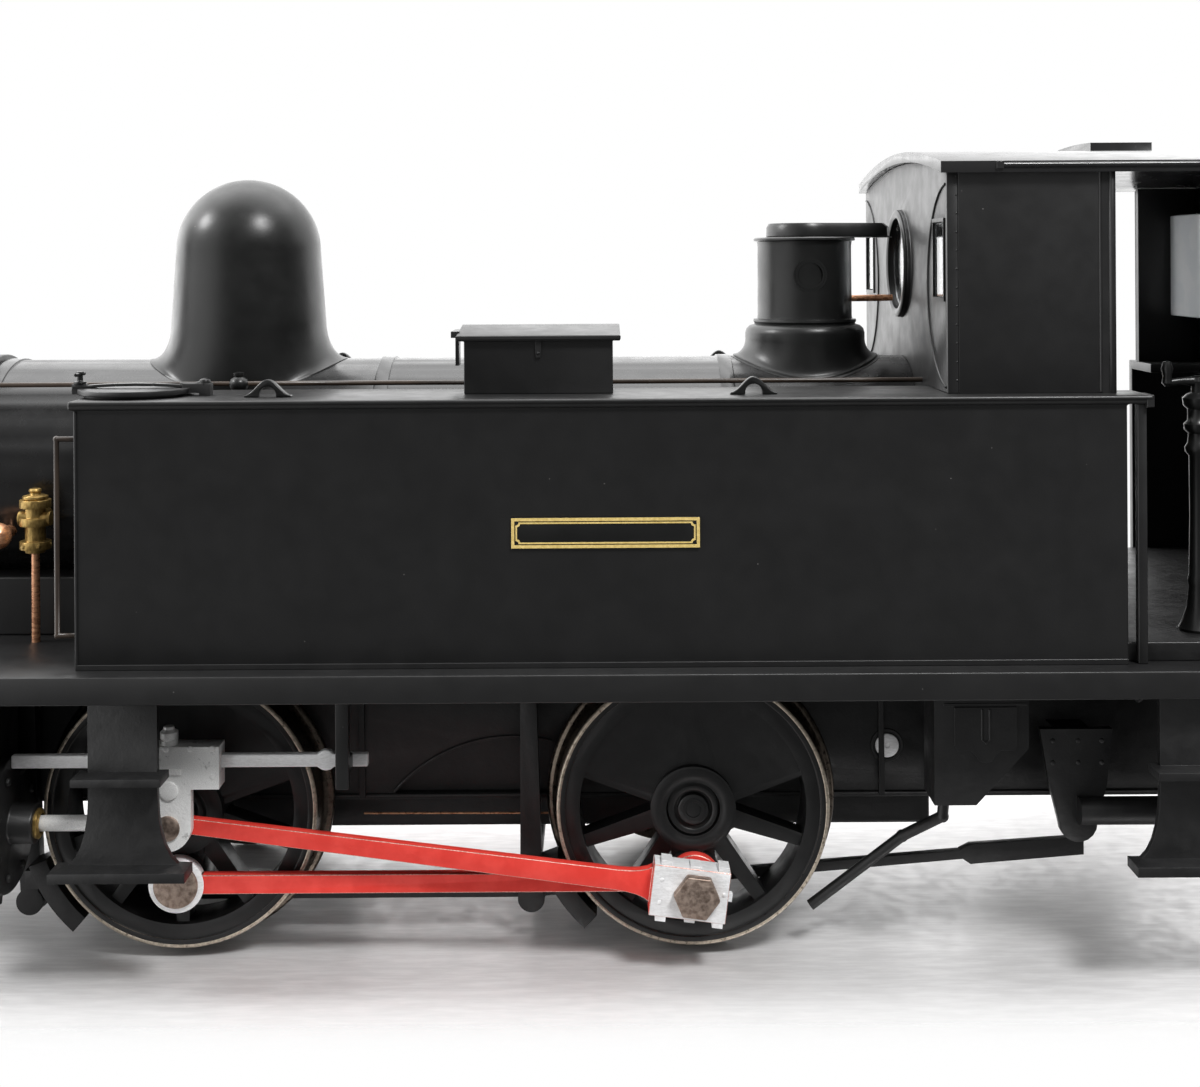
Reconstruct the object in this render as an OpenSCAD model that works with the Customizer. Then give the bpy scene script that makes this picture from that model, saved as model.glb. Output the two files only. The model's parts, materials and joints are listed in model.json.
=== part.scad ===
// Four-wheeled outside-cylinder side-tank dock shunter, a 4 mm to the foot model.
// X runs along the engine with the front at -X, Y across it with the left side at -Y, Z up.
// The origin lies on the surface under the wheels, at the middle of the length over the buffers.

/* [Underframe] */
// Length over the two buffer beams
plate_len = 90; // [86:1:110]
// Width over the running plate
plate_w = 32; // [31.5:0.1:36]
// Thickness of the running plate
plate_t = 0.8; // [0.6:0.1:1.2]
// Depth of the valance along the edge of the plate
valance_h = 1.45; // [1:0.05:2.2]
// Distance from the front beam to the leading axle
front_overhang = 24.5; // [24:0.5:34]
// Thickness of a buffer beam
beam_t = 1.2; // [0.8:0.1:2]
// Depth of a buffer beam
beam_h = 6.2; // [5:0.1:8]
// Width over the main frames
frame_w = 13; // [11:0.2:13.2]

/* [Wheels] */
// Distance between the two axles
wheelbase = 28; // [26:0.5:36]
// Wheel diameter over the tread
tread_d = 15; // [13.5:0.1:15.4]
// Height of the flange above the tread
flange_h = 0.55; // [0.4:0.05:0.8]
// Width over the rim and flange
wheel_w = 2.8; // [2.4:0.1:3]
// Distance between the backs of two wheels
back_to_back = 14.4; // [14:0.1:14.8]
// Number of spokes
spokes = 10; // [8:2:14]
// Diameter of an axle
axle_d = 2.9; // [2:0.1:3.2]

/* [Motion] */
// Crank throw, half the piston stroke
throw = 3.67; // [3:0.01:4]
// Diameter of a crank pin
pin_d = 1.5; // [1:0.1:1.8]
// Depth of the coupling rod
coupling_h = 1.03; // [0.7:0.01:1.4]
// Thickness of a coupling rod
coupling_t = 0.65; // [0.4:0.05:0.7]
// Thickness of a connecting rod
con_t = 0.6; // [0.4:0.05:0.8]
// Outer diameter of a cylinder
cyl_d = 7.2; // [5.5:0.1:7.4]
// Length of a cylinder beyond the stroke at each end
cyl_end = 1.33; // [1:0.01:1.8]

/* [Boiler] */
// Outer diameter of the boiler cladding
boiler_d = 13.3; // [11:0.1:13.4]
// Height of the boiler axis above the running plate
boiler_rise = 8.6; // [8:0.1:11]
// Length of the smokebox
smokebox_len = 9; // [6:0.5:10]
// Chimney height above the boiler axis
chimney_rise = 21; // [16:0.5:24]
// Dome height above the boiler axis
dome_rise = 17.5; // [13:0.1:20]
// Dome diameter at the waist
dome_d = 8.9; // [7:0.1:9.5]

/* [Tanks] */
// Length of a side tank
tank_len = 54.65; // [48:0.5:66]
// Height of a side tank
tank_h = 13.95; // [11:0.1:16]
// Distance from the tank side in to the plate edge
tank_inset = 1.5; // [1:0.1:2.5]
// Distance from the leading axle forward to the tank front
tank_lead = 4.25; // [2:0.1:6]

/* [Cab] */
// Distance from the cab front to the tank rear
cab_overlap = 9; // [7:0.5:12]
// Cab length from the front plate to the rear sheet
cab_len = 23.1; // [20:0.1:27]
// Width over the cab sides
cab_w = 26; // [23:0.5:28]
// Height of the cab eaves above the tank top
cab_rise = 11.65; // [10:0.1:14]
// Height of the roof crown above the eaves
roof_crown = 1.2; // [1:0.1:3]
// Thickness of cab sheets
sheet_t = 0.6; // [0.4:0.05:0.8]

/* [Buffers] */
// Length of a buffer ahead of its beam
buffer_len = 5.9; // [4.5:0.1:7]
// Diameter of a buffer head
buffer_head_d = 5; // [4:0.1:6.5]
// Distance between the buffer centres
buffer_spread = 22.8; // [21:0.1:24]

/* [Hidden] */
$fn = 64;
small_fn = 24;

fit = 0.02;                 // radial gap of pressed pieces
run = 0.1;                  // gap of running faces and journals
seat = 0.05;                // gap beside pieces that only pass each other

// Heights
tread_r = tread_d / 2;
flange_r = tread_r + flange_h;
axle_r = axle_d / 2;
axle_z = flange_r;
plate_under = 2 * flange_r;
plate_top = plate_under + plate_t;
tank_top = plate_top + tank_h;
boiler_r = boiler_d / 2;
boiler_z = plate_top + boiler_rise;
buffer_z = plate_under - 1.9;

// Lengthwise places
plate_x0 = -plate_len / 2;
plate_x1 = plate_len / 2;
lead_x = plate_x0 + front_overhang;
drive_x = lead_x + wheelbase;
mid_x = (lead_x + drive_x) / 2;
tank_x0 = lead_x - tank_lead;
tank_x1 = tank_x0 + tank_len;
cab_x0 = tank_x1 - cab_overlap;
cab_x1 = cab_x0 + cab_len;
smokebox_x1 = tank_x0 - 8.75;
smokebox_x0 = smokebox_x1 - smokebox_len;
chimney_x = (smokebox_x0 + smokebox_x1) / 2;
dome_x = tank_x0 + 6.05;
valve_x = cab_x0 - 5.9;
door_x1 = cab_x1 - 4.6;     // rear edge of the doorway

// Crosswise places, all measured out from the centre line
plate_y = plate_w / 2;
tank_y1 = plate_y - tank_inset;
tank_y0 = max(boiler_r, smokebox_r()) + 0.3;
cab_y = cab_w / 2;
wheel_y0 = back_to_back / 2;
wheel_y1 = wheel_y0 + wheel_w;
hub_y = wheel_y1 + 0.15;
coupling_y0 = hub_y + run;
coupling_y1 = coupling_y0 + coupling_t;
pin_head_y1 = coupling_y1 + seat + 0.25;
con_y0 = pin_head_y1 + 0.2;
con_y1 = con_y0 + con_t;
motion_y = (con_y0 + con_y1) / 2;
cheek_y0 = con_y1 + seat;
cheek_y1 = cheek_y0 + 0.6;

// Motion
crosshead_x = lead_x;       // crosshead pin with its crank straight up or down
con_len = norm([drive_x - crosshead_x, throw]);
con_dip = asin(throw / con_len);
crosshead_rear_x = drive_x + throw - con_len;
crosshead_front_x = drive_x - throw - con_len;
small_pin_r = 0.5;
bar_z = axle_z + 3.35;
bar_h = 0.7;
rim_r = tread_r - 0.5;
rim_in_r = rim_r - 0.8;
hub_r = 2.33;
boss_r = 1.45;

// Cylinders
cyl_r = cyl_d / 2;
cyl_len = 2 * (throw + cyl_end);
cyl_x1 = min(crosshead_front_x - 4.3, lead_x - flange_r - 0.45);
cyl_x0 = cyl_x1 - cyl_len;

// Roof arc, seen end on
roof_t = 0.6;
eaves_z = tank_top + cab_rise;
roof_y = cab_y + 0.5;
roof_r = (roof_y * roof_y + roof_crown * roof_crown) / (2 * roof_crown);
roof_c_z = eaves_z + roof_t + roof_crown - roof_r;

function smokebox_r() = boiler_d / 2 + 0.35;

// Draws a flat piece, given in X and Z, on one side of the engine and y0 out from the centre line.
module on_side(side, y0 = 0)
    mirror([0, side > 0 ? 1 : 0, 0]) rotate([90, 0, 0]) translate([0, 0, y0]) children();

module both_sides() {
    children();
    mirror([0, 1, 0]) children();
}

// Draws a profile, given in Y and Z, from x0 along len.
module along_x(x0, len)
    translate([x0, 0, 0]) rotate([90, 0, 90]) linear_extrude(len) children();

module rod_x(x0, x1, y, z, r)
    translate([x0, y, z]) rotate([0, 90, 0]) cylinder(h = x1 - x0, r = r);

module box(x0, x1, y0, y1, z0, z1)
    translate([x0, y0, z0]) cube([x1 - x0, y1 - y0, z1 - z0]);

// ---------- Underframe ----------

module running_plate() color("#101112") difference() {
    union() {
        box(plate_x0 + beam_t, plate_x1 - beam_t, -plate_y, plate_y, plate_under, plate_top);
        both_sides()
            box(plate_x0 + beam_t, plate_x1 - beam_t, plate_y - 0.6, plate_y,
                plate_top - valance_h, plate_under);
    }
    for (x = [lead_x, drive_x])
        both_sides() box(x - 4.5, x + 4.5, wheel_y0 - 0.3, wheel_y1 + 0.4, plate_under - 1, plate_top + 1);
}

module beam(x) color("#101112") difference() {
    union() {
        box(x, x + beam_t, -plate_y, plate_y, plate_top - beam_h + 1.4, plate_top);
        box(x, x + beam_t, -plate_y + 4, plate_y - 4, plate_top - beam_h, plate_top);
    }
    translate([x - 1, 0, buffer_z]) rotate([0, 90, 0]) cylinder(h = beam_t + 2, r = hook_r + fit, $fn = small_fn);
}

hook_r = 0.45;
module front_beam() beam(plate_x0);
module rear_beam() beam(plate_x1 - beam_t);

frame_y = frame_w / 2;
frame_z0 = axle_z - 0.55;

module axle_bores()
    for (x = [lead_x, drive_x])
        translate([x, 0, axle_z]) rotate([90, 0, 0]) cylinder(h = frame_w + 2, r = axle_r + run, center = true);

module chassis() color("#0c0d0e") difference() {
    union() {
        box(plate_x0 + beam_t, plate_x1 - beam_t, -frame_y, frame_y, frame_z0, plate_under);
        // stretcher that carries the two cylinders
        box(cyl_x0 + 1.2, cyl_x1 - 1.2, -motion_y + cyl_r - 0.4, motion_y - cyl_r + 0.4, axle_z + 1, plate_under);
    }
    axle_bores();
    for (s = [-1, 1]) {
        // hollow pressed in the frame between the axles
        on_side(s, frame_y - 0.5) linear_extrude(1) intersection() {
            translate([mid_x + 4, axle_z + 2.85 - 8.9]) circle(8.9);
            translate([mid_x - 3, frame_z0 + 0.35]) square([wheelbase / 2 - 5, 4]);
        }
        on_side(s) cylinder_bore(0);
    }
    // notches that hold the coupling pockets
    both_ends() box(plate_x1 - pocket_len, plate_x1, -pocket_y, pocket_y, frame_z0 - 1, pocket_z1);
}

module both_ends() {
    children();
    mirror([1, 0, 0]) children();
}

// Clears the round of a cylinder, with extra room round it.
module cylinder_bore(extra)
    translate([cyl_x0 - 1, axle_z, motion_y]) rotate([0, 90, 0]) cylinder(h = cyl_len + 2, r = cyl_r + extra);

pocket_len = 6;
pocket_y = 2.2;
pocket_z1 = min(frame_z0 + 3, plate_top - beam_h - 0.1);
keeper_z0 = frame_z0 - 2.2;

module keeper_plate() color("#0c0d0e") difference() {
    box(lead_x - 4, drive_x + 14, -4.6, 4.6, keeper_z0, frame_z0);
    axle_bores();
}

// ---------- Boiler ----------

module boiler_round(r, x0, x1) rod_x(x0, x1, 0, boiler_z, r);

module boiler() color("#141516") difference() {
    union() {
        boiler_round(boiler_r, smokebox_x1, cab_x0);
        for (x = [smokebox_x1 + 0.3, dome_x + 8.1, valve_x - 5.4])
            boiler_round(boiler_r + 0.1, x, x + 0.8);
    }
    boiler_round(boiler_r - 0.8, smokebox_x1 + 0.8, cab_x0 - 0.8);
}

motor_r = boiler_r - 1.1;
motor_len = 16;
module motor() color("#8a8d90")
    boiler_round(motor_r, cab_x0 - 4 - motor_len, cab_x0 - 4);

saddle_y = 5.2;
module smokebox() color("#141516") difference() {
    union() {
        boiler_round(smokebox_r(), smokebox_x0, smokebox_x1);
        box(smokebox_x0 + 0.6, smokebox_x1 - 0.6, -saddle_y, saddle_y, plate_top, boiler_z);
    }
}

module smokebox_door() color("#141516") translate([smokebox_x0, 0, boiler_z]) rotate([0, -90, 0]) rotate_extrude() {
    polygon([[0, 0], [5.3, 0], [5.3, 0.35], [5, 0.5], [3.6, 1.0], [1.9, 1.3], [0, 1.4]]);
}

chimney_z1 = boiler_z + chimney_rise;
module chimney() color("#141516") difference() {
    translate([chimney_x, 0, 0]) rotate_extrude() difference() {
        polygon(concat(
            [[0, boiler_z], [3.7, boiler_z], [3.7, boiler_z + smokebox_r() + 0.1]],
            [for (a = [0:15:90]) [3.7 - 1.1 * sin(a), boiler_z + smokebox_r() + 1.4 - 1.3 * cos(a)]],
            [[2.35, chimney_z1 - 2.6], [2.9, chimney_z1 - 1.9], [3.0, chimney_z1 - 0.9],
             [2.7, chimney_z1], [0, chimney_z1]]));
        translate([0, chimney_z1 - 9]) square([1.75, 12]);
    }
    boiler_round(smokebox_r(), smokebox_x0 - 1, smokebox_x1 + 1);
}

dome_z1 = boiler_z + dome_rise;
dome_r = dome_d / 2;
dome_cap_r = dome_r - 0.15;
dome_foot_r = min(dome_r + 0.9, boiler_r - 1);   // the foot stays inside the handrails
module dome() color("#141516") difference() {
    translate([dome_x, 0, 0]) rotate_extrude() polygon(concat(
        [[0, boiler_z], [dome_foot_r, boiler_z], [dome_foot_r, boiler_z + boiler_r]],
        [for (a = [0:15:90]) [dome_r + 1.5 - 1.5 * sin(a), boiler_z + boiler_r + 2.8 - 2.7 * cos(a)]],
        [for (a = [0:10:90]) [dome_cap_r * cos(a), dome_z1 - dome_cap_r + dome_cap_r * sin(a)]]));
    boiler_round(boiler_r, dome_x - dome_d, dome_x + dome_d);
}

valve_z0 = boiler_z + boiler_r;
valve_top = valve_z0 + 7.15;
module safety_valve() color("#141516") difference() {
    union() {
        translate([valve_x, 0, 0]) rotate_extrude() polygon(concat(
            [[0, boiler_z], [3.9, boiler_z], [3.9, valve_z0 + 0.1]],
            [for (a = [0:15:90]) [4.5 - 0.86 * sin(a), valve_z0 + 1.2 - 1.0 * cos(a)]],
            [[3.5, valve_z0 + 1.8], [3.3, valve_z0 + 2.0], [2.85, valve_z0 + 2.3],
             [2.85, valve_top - 0.25], [3.1, valve_top - 0.2], [3.1, valve_top], [0, valve_top]]));
        // flat cap with a tail drawn back over the lever
        translate([valve_x, 0, valve_top]) {
            cylinder(h = 0.5, r = 3.1);
            cylinder(h = 0.9, r = 2.5);
            translate([0, -0.9, 0]) cube([4.4, 1.8, 0.7]);
            translate([4.4, 0, 0]) cylinder(h = 0.7, r = 0.9);
        }
        rod_x(valve_x + 2.7, valve_x + 5.4, 0, valve_z0 + 3.45, 0.2);
    }
    boiler_round(boiler_r, valve_x - 6, valve_x + 6);
}

// ---------- Side tanks and what stands on them ----------

lip_t = 0.45;
lip_out = 0.25;
post_x = tank_x1 + 0.5;     // front face of the cab entrance post

cab_tank_y = tank_y1 - 3.2; // inner face of the tank inside the cab
module side_tank(side) color("#121314") difference() {
    on_side(side, tank_y0) union() {
        translate([tank_x0, plate_top, 0]) cube([tank_len, tank_h - lip_t, tank_y1 - tank_y0]);
        translate([tank_x0 - lip_out, tank_top - lip_t, 0])
            cube([tank_len + lip_out + 1.3, lip_t, tank_y1 - tank_y0 + lip_out]);
    }
    // inside the cab the tank is cut back to leave room for the crew
    on_side(side, 0) translate([cab_x0 + sheet_t + 1, plate_top - 1, 0])
        cube([tank_len, tank_h + 2, cab_tank_y]);
}
module side_tank_left() side_tank(-1);
module side_tank_right() side_tank(1);

filler_x = tank_x0 + 2.25;
filler_y = tank_y1 - 3.5;
filler_r = 3;
filler_h = 0.15;            // ring under the lid
lid_t = 0.27;
module tank_fillers() color("#121314") both_sides() {
    translate([filler_x, filler_y, tank_top]) {
        cylinder(h = filler_h, r = filler_r - 0.3);
        translate([0, 0, filler_h]) cylinder(h = lid_t, r = filler_r);
    }
    // hinge lug behind the lid and clamp ahead of it
    box(filler_x + filler_r - 0.4, filler_x + filler_r + 1.1, filler_y - 0.35, filler_y + 0.35,
        tank_top + filler_h, tank_top + filler_h + 0.5);
    box(filler_x + filler_r + 0.5, filler_x + filler_r + 1.1, filler_y - 0.35, filler_y + 0.35,
        tank_top, tank_top + filler_h + 0.2);
    box(filler_x - filler_r - 0.4, filler_x - filler_r + 0.4, filler_y - 0.2, filler_y + 0.2,
        tank_top + filler_h - 0.05, tank_top + filler_h + 0.5);
}

toolbox_x = mid_x + 5.76;
toolbox_len = 8;
toolbox_y0 = tank_y0 + 0.3;
toolbox_y1 = tank_y1 - 3;
toolbox_h = 2.85;
module toolbox() color("#121314") {
    box(toolbox_x - toolbox_len / 2, toolbox_x + toolbox_len / 2, -toolbox_y1, -toolbox_y0,
        tank_top, tank_top + toolbox_h);
    // lid falls a little towards the tank edge
    along_x(toolbox_x - toolbox_len / 2 - 0.4, toolbox_len + 0.8)
        polygon([[-toolbox_y0, tank_top + toolbox_h], [-toolbox_y1 - 0.35, tank_top + toolbox_h],
                 [-toolbox_y1 - 0.35, tank_top + toolbox_h + 0.3], [-toolbox_y0, tank_top + toolbox_h + 0.75]]);
}

eye_half = 1.25;            // half the length of an eye's foot
eye_h = 0.95;
eye_t = 0.5;
eye_hole_r = 0.45;
eye_y = tank_y1 - 2;
module lifting_eyes() color("#121314") both_sides()
    for (x = [tank_x0 + 9.7, tank_x1 - 19.2])
        translate([x, eye_y + eye_t / 2, tank_top]) rotate([90, 0, 0]) linear_extrude(eye_t) difference() {
            polygon([for (u = [-1:0.1:1]) [u * eye_half, 0.12 + (eye_h - 0.12) * (1 + cos(180 * u)) / 2],
                     [eye_half, 0], [-eye_half, 0]]);
            translate([0, 0.12]) circle(eye_hole_r, $fn = small_fn);
            translate([-eye_hole_r, -1]) square([2 * eye_hole_r, 1.12]);
        }

name_len = 9.8;
name_h = 1.6;
name_x = mid_x + 9.3;
name_z = plate_top + 7;
module name_plates() color("#caa24a") for (s = [-1, 1])
    on_side(s, tank_y1) translate([name_x - name_len / 2, name_z - name_h / 2, 0]) cube([name_len, name_h, 0.12]);

// ---------- Cab ----------

module under_roof() translate([0, roof_c_z]) circle(roof_r - roof_t - fit, $fn = 128);

window_r = 2.75;
window_z = tank_top + 6.85;
side_window_y0 = cab_y - 3.2;
side_window_y1 = cab_y - sheet_t;
side_window_z = tank_top + 5.05;
side_window_h = 4.05;

module end_sheet_outline() intersection() {
    union() {
        translate([-cab_y, tank_top]) square([cab_w, cab_rise + 4]);
        translate([-tank_y0 + seat, plate_top]) square([2 * (tank_y0 - seat), tank_h + 1]);
    }
    under_roof();
}

module cab_front() color("#141516") difference() {
    union() {
        along_x(cab_x0, sheet_t) end_sheet_outline();
        along_x(cab_x0 - 0.25, 0.25) translate([0, window_z]) circle(window_r + 0.5);
    }
    along_x(cab_x0 - 1, sheet_t + 2) {
        translate([0, window_z]) circle(window_r);
        both_halves() translate([side_window_y0, side_window_z])
            square([side_window_y1 - side_window_y0, side_window_h]);
    }
}

// Repeats a flat outline, drawn in Y and Z, on the other side of the centre line.
module both_halves() {
    children();
    mirror([1, 0]) children();
}

cab_side_len = cab_overlap - sheet_t - 0.1;
module cab_side(side) color("#121314") intersection() {
    on_side(side, cab_y - sheet_t) {
        translate([cab_x0 + sheet_t, tank_top]) linear_extrude(sheet_t) square([cab_side_len, cab_rise + 2]);
        // half-round beading down the doorway edge
        translate([cab_x0 + sheet_t + cab_side_len - 0.2, tank_top, sheet_t])
            rotate([-90, 0, 0]) cylinder(h = cab_rise + 2, r = 0.2, $fn = small_fn);
        translate([door_x1, tank_top]) linear_extrude(sheet_t) square([cab_x1 - sheet_t - door_x1, cab_rise + 2]);
    }
    along_x(cab_x0, cab_len) under_roof();
}
module cab_side_left() cab_side(-1);
module cab_side_right() cab_side(1);

rear_window_y0 = 2.9;
rear_window_y1 = 8.8;
rear_window_z = tank_top + 3.2;
rear_window_h = 6.8;

module cab_rear() color("#121314") {
    difference() {
        along_x(cab_x1 - sheet_t, sheet_t) intersection() {
            union() {
                translate([-cab_y, plate_top]) square([cab_w, cab_rise + tank_h + 4]);
                translate([-tank_y1, plate_top]) square([2 * tank_y1, tank_h]);
            }
            under_roof();
        }
        along_x(cab_x1 - 2, 3) both_halves() translate([rear_window_y0, rear_window_z])
            square([rear_window_y1 - rear_window_y0, rear_window_h]);
    }
    // low side sheets behind the doorway, closed on top
    both_sides() {
        box(door_x1, cab_x1 - sheet_t, tank_y1 - sheet_t, tank_y1, plate_top, tank_top);
        box(door_x1, cab_x1 - sheet_t, cab_y - 3, tank_y1 - sheet_t, tank_top - sheet_t, tank_top);
    }
}

module cab_roof() color("#141516") {
    along_x(cab_x0 - 0.4, cab_len + 0.8) intersection() {
        translate([0, roof_c_z]) difference() {
            circle(roof_r, $fn = 128);
            circle(roof_r - roof_t, $fn = 128);
        }
        translate([-roof_y, eaves_z - 2]) square([2 * roof_y, 10]);
    }
    // low ventilator across the crown
    along_x(door_x1 - 8, 3.6) intersection() {
        translate([0, roof_c_z]) difference() {
            circle(roof_r + 0.5, $fn = 128);
            circle(roof_r, $fn = 128);
        }
        translate([-3.4, eaves_z]) square([6.8, 10]);
    }
}

cab_floor_t = 1;
module cab_floor() color("#0e0f10") difference() {
    box(cab_x0 + sheet_t, cab_x1 - sheet_t, -tank_y1 + sheet_t, tank_y1 - sheet_t, plate_top, plate_top + cab_floor_t);
    // the tanks stand on the running plate beside the floor
    both_sides() box(cab_x0, tank_x1 + seat, cab_tank_y - seat, tank_y1 + 1, plate_top - 1, plate_top + 2);
    both_sides() box(cab_x0 - 1, cab_x0 + sheet_t + 1 + seat, tank_y0 - seat, tank_y1, plate_top - 1, plate_top + 2);
}

post_w = 0.5;
module cab_posts() color("#121314") both_sides()
    box(post_x, post_x + post_w, tank_y1 - 0.5, tank_y1, plate_top, tank_top - lip_t);

backhead_r = 5.9;
backhead_len = 3.4;
module backhead() color("#1a1b1c") difference() {
    along_x(cab_x0 + sheet_t, backhead_len) {
        translate([0, boiler_z]) circle(backhead_r);
        translate([-backhead_r, plate_top + cab_floor_t]) square([2 * backhead_r, boiler_z - plate_top - cab_floor_t]);
    }
    // recess round the firehole door
    along_x(cab_x0 + sheet_t + backhead_len - 0.4, 1) translate([0, plate_top + 5]) circle(1.8);
}

brake_x = door_x1 - 4.7;
brake_y = tank_y1 - 3.3;
floor_z = plate_top + cab_floor_t;
module handbrake() color("#141516") translate([brake_x, -brake_y, floor_z]) {
    cylinder(h = 2.6, r1 = 0.9, r2 = 0.55, $fn = small_fn);
    cylinder(h = 12.6, r = 0.45, $fn = small_fn);
    translate([0, 0, 12.6]) cylinder(h = 0.6, r = 0.75, $fn = small_fn);
    rod_x(-1.7, 1.7, 0, 13.4, 0.28);
    for (x = [-1.5, 1.5]) translate([x, 0, 13.2]) cylinder(h = 1.3, r = 0.3, $fn = small_fn);
}

glass_t = 0.25;
glass_lap = 0.35;
module cab_glazing() color("#cfd8dc", 0.4) {
    along_x(cab_x0 + sheet_t, glass_t) {
        translate([0, window_z]) circle(window_r + glass_lap);
        both_halves() translate([side_window_y0 - glass_lap, side_window_z - glass_lap])
            square([side_window_y1 - side_window_y0 + glass_lap - seat, side_window_h + 2 * glass_lap]);
    }
    along_x(cab_x1 - sheet_t - glass_t, glass_t)
        both_halves() translate([rear_window_y0 - glass_lap, rear_window_z - glass_lap])
            square([rear_window_y1 - rear_window_y0 + 2 * glass_lap, rear_window_h + 2 * glass_lap]);
}

// ---------- Cylinders and slide bars ----------

gland_len = 1.3;
piston_r = 0.42;
stuff_len = 0.8;            // piston rod left inside the cylinder at the rear of the stroke
chest_y = 2.6;              // half width of the valve chest

module cylinder_unit(side) color("#121314") difference() {
    on_side(side) union() {
        translate([cyl_x0, axle_z, motion_y]) rotate([0, 90, 0]) {
            cylinder(h = cyl_len, r = cyl_r);
            translate([0, 0, -0.5]) cylinder(h = 0.5, r = cyl_r - 0.4);
            translate([0, 0, -0.9]) cylinder(h = 0.9, r = 1.1);
            translate([0, 0, cyl_len]) cylinder(h = gland_len, r = 1.05);
        }
        translate([cyl_x0 + 0.6, axle_z, motion_y - chest_y])
            cube([cyl_len - 1.2, plate_under - axle_z, 2 * chest_y]);
    }
    on_side(side) rod_x(cyl_x1 - stuff_len - 2 * throw - 0.3, cyl_x1 + gland_len + 1, axle_z, motion_y, piston_r + run);
}
module cylinder_left() cylinder_unit(-1);
module cylinder_right() cylinder_unit(1);

bracket_x = mid_x - 4.6;    // middle of the motion bracket
bracket_t = 0.7;
bar_y0 = con_y0 + 0.13;
bar_y1 = con_y1;
module slide_bar(side) color("#b9bcbf") on_side(side, bar_y0) {
    translate([cyl_x1, bar_z - bar_h / 2, 0])
        cube([bracket_x + bracket_t / 2 + 0.8 - cyl_x1, bar_h, bar_y1 - bar_y0]);
    // swollen end ahead of the bracket
    translate([bracket_x - 1.1, bar_z, 0]) cylinder(h = bar_y1 - bar_y0, r = 0.55, $fn = small_fn);
}
module slide_bar_left() slide_bar(-1);
module slide_bar_right() slide_bar(1);

bracket_y0 = cheek_y1 + 0.25;
module motion_brackets() color("#121314") for (s = [-1, 1]) {
    on_side(s, bracket_y0) translate([bracket_x - bracket_t / 2, bar_z - 1.1, 0])
        cube([bracket_t, plate_under - bar_z + 1.1, 0.6]);
    on_side(s, bar_y1) translate([bracket_x - bracket_t / 2, bar_z - 0.45, 0])
        cube([bracket_t, 0.9, bracket_y0 - bar_y1]);
}

// ---------- Footsteps, buffers, couplings ----------

step_y0 = tank_y1 - 0.2;
step_t = 0.4;
step_mid_z = plate_under - 4.8;
step_low_z = plate_under - 9.3;

// One pair of steps: back plate, upper tread and longer lower tread.
module step_pair(x, back_w, mid_w, low_w) {
    translate([x, 0, step_y0]) linear_extrude(step_t) polygon(concat(
        [[-back_w / 2, plate_under], [back_w / 2, plate_under]],
        [for (a = [0:15:90]) [back_w / 2 + (low_w - back_w) / 2 * (1 - cos(a)) * 0.8,
                              step_low_z + 3.5 * (1 - sin(a))]],
        [for (a = [90:-15:0]) [-back_w / 2 - (low_w - back_w) / 2 * (1 - cos(a)) * 0.8,
                               step_low_z + 3.5 * (1 - sin(a))]]));
    translate([x - mid_w / 2, step_mid_z, step_y0]) cube([mid_w, 0.4, plate_y - step_y0]);
    translate([x - low_w / 2, step_low_z - 0.4, step_y0]) cube([low_w, 0.5, plate_y - step_y0]);
}

front_step_x = lead_x - 1.75;
rear_step_x = (post_x + door_x1) / 2;
module footsteps() color("#101112") for (s = [-1, 1]) on_side(s) {
    step_pair(front_step_x, 3.6, 4.6, 7);
    step_pair(rear_step_x, 7, 8, 10.2);
}

buffer_head_r = buffer_head_d / 2;
module buffer() rotate([0, -90, 0]) rotate_extrude() polygon(concat(
    [[0, 0], [1.95, 0], [1.95, 0.5], [1.55, 0.6], [1.3, 3.0], [0.85, 3.0], [0.85, buffer_len - 0.8]],
    [[buffer_head_r - 0.2, buffer_len - 0.6], [buffer_head_r, buffer_len - 0.5],
     [buffer_head_r, buffer_len - 0.2], [buffer_head_r - 0.2, buffer_len], [0, buffer_len]]));

module front_buffers() color("#1b1c1d")
    both_sides() translate([plate_x0, buffer_spread / 2, buffer_z]) buffer();
module rear_buffers() color("#1b1c1d")
    both_sides() translate([plate_x1, buffer_spread / 2, buffer_z]) mirror([1, 0, 0]) buffer();

hook_t = 0.7;
module couplings() color("#202122") both_ends() {
    // draw hook on its shank
    rod_x(plate_x1 - beam_t, plate_x1 + 1.2, 0, buffer_z, hook_r);
    translate([plate_x1 + 2.1, hook_t / 2, buffer_z]) rotate([90, 0, 0]) linear_extrude(hook_t) difference() {
        circle(1.3);
        translate([0.1, 0.1]) circle(0.6);
        translate([-0.5, 0.1]) square([1.2, 2]);
    }
    // socket for a plug-in coupling, under the beam
    difference() {
        box(plate_x1 - pocket_len, plate_x1 + 0.3, -pocket_y, pocket_y, pocket_z1 - 2.6, pocket_z1);
        box(plate_x1 - pocket_len + 0.8, plate_x1 + 1, -1.6, 1.6, pocket_z1 - 2.1, pocket_z1 - 0.5);
    }
}

// ---------- Rails, pipes ----------

rail_y = boiler_r - 0.5;
rail_z = boiler_z + boiler_r - 1.05;
rail_r = 0.14;

// Pillar from a round of radius r up to the boiler rail.
module rail_post(x, r) {
    difference() {
        translate([x, rail_y, boiler_z]) cylinder(h = rail_z - boiler_z, r = 0.19, $fn = small_fn);
        boiler_round(r, x - 1, x + 1);
    }
    translate([x, rail_y, rail_z]) sphere(r = 0.36, $fn = small_fn);
}

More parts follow.
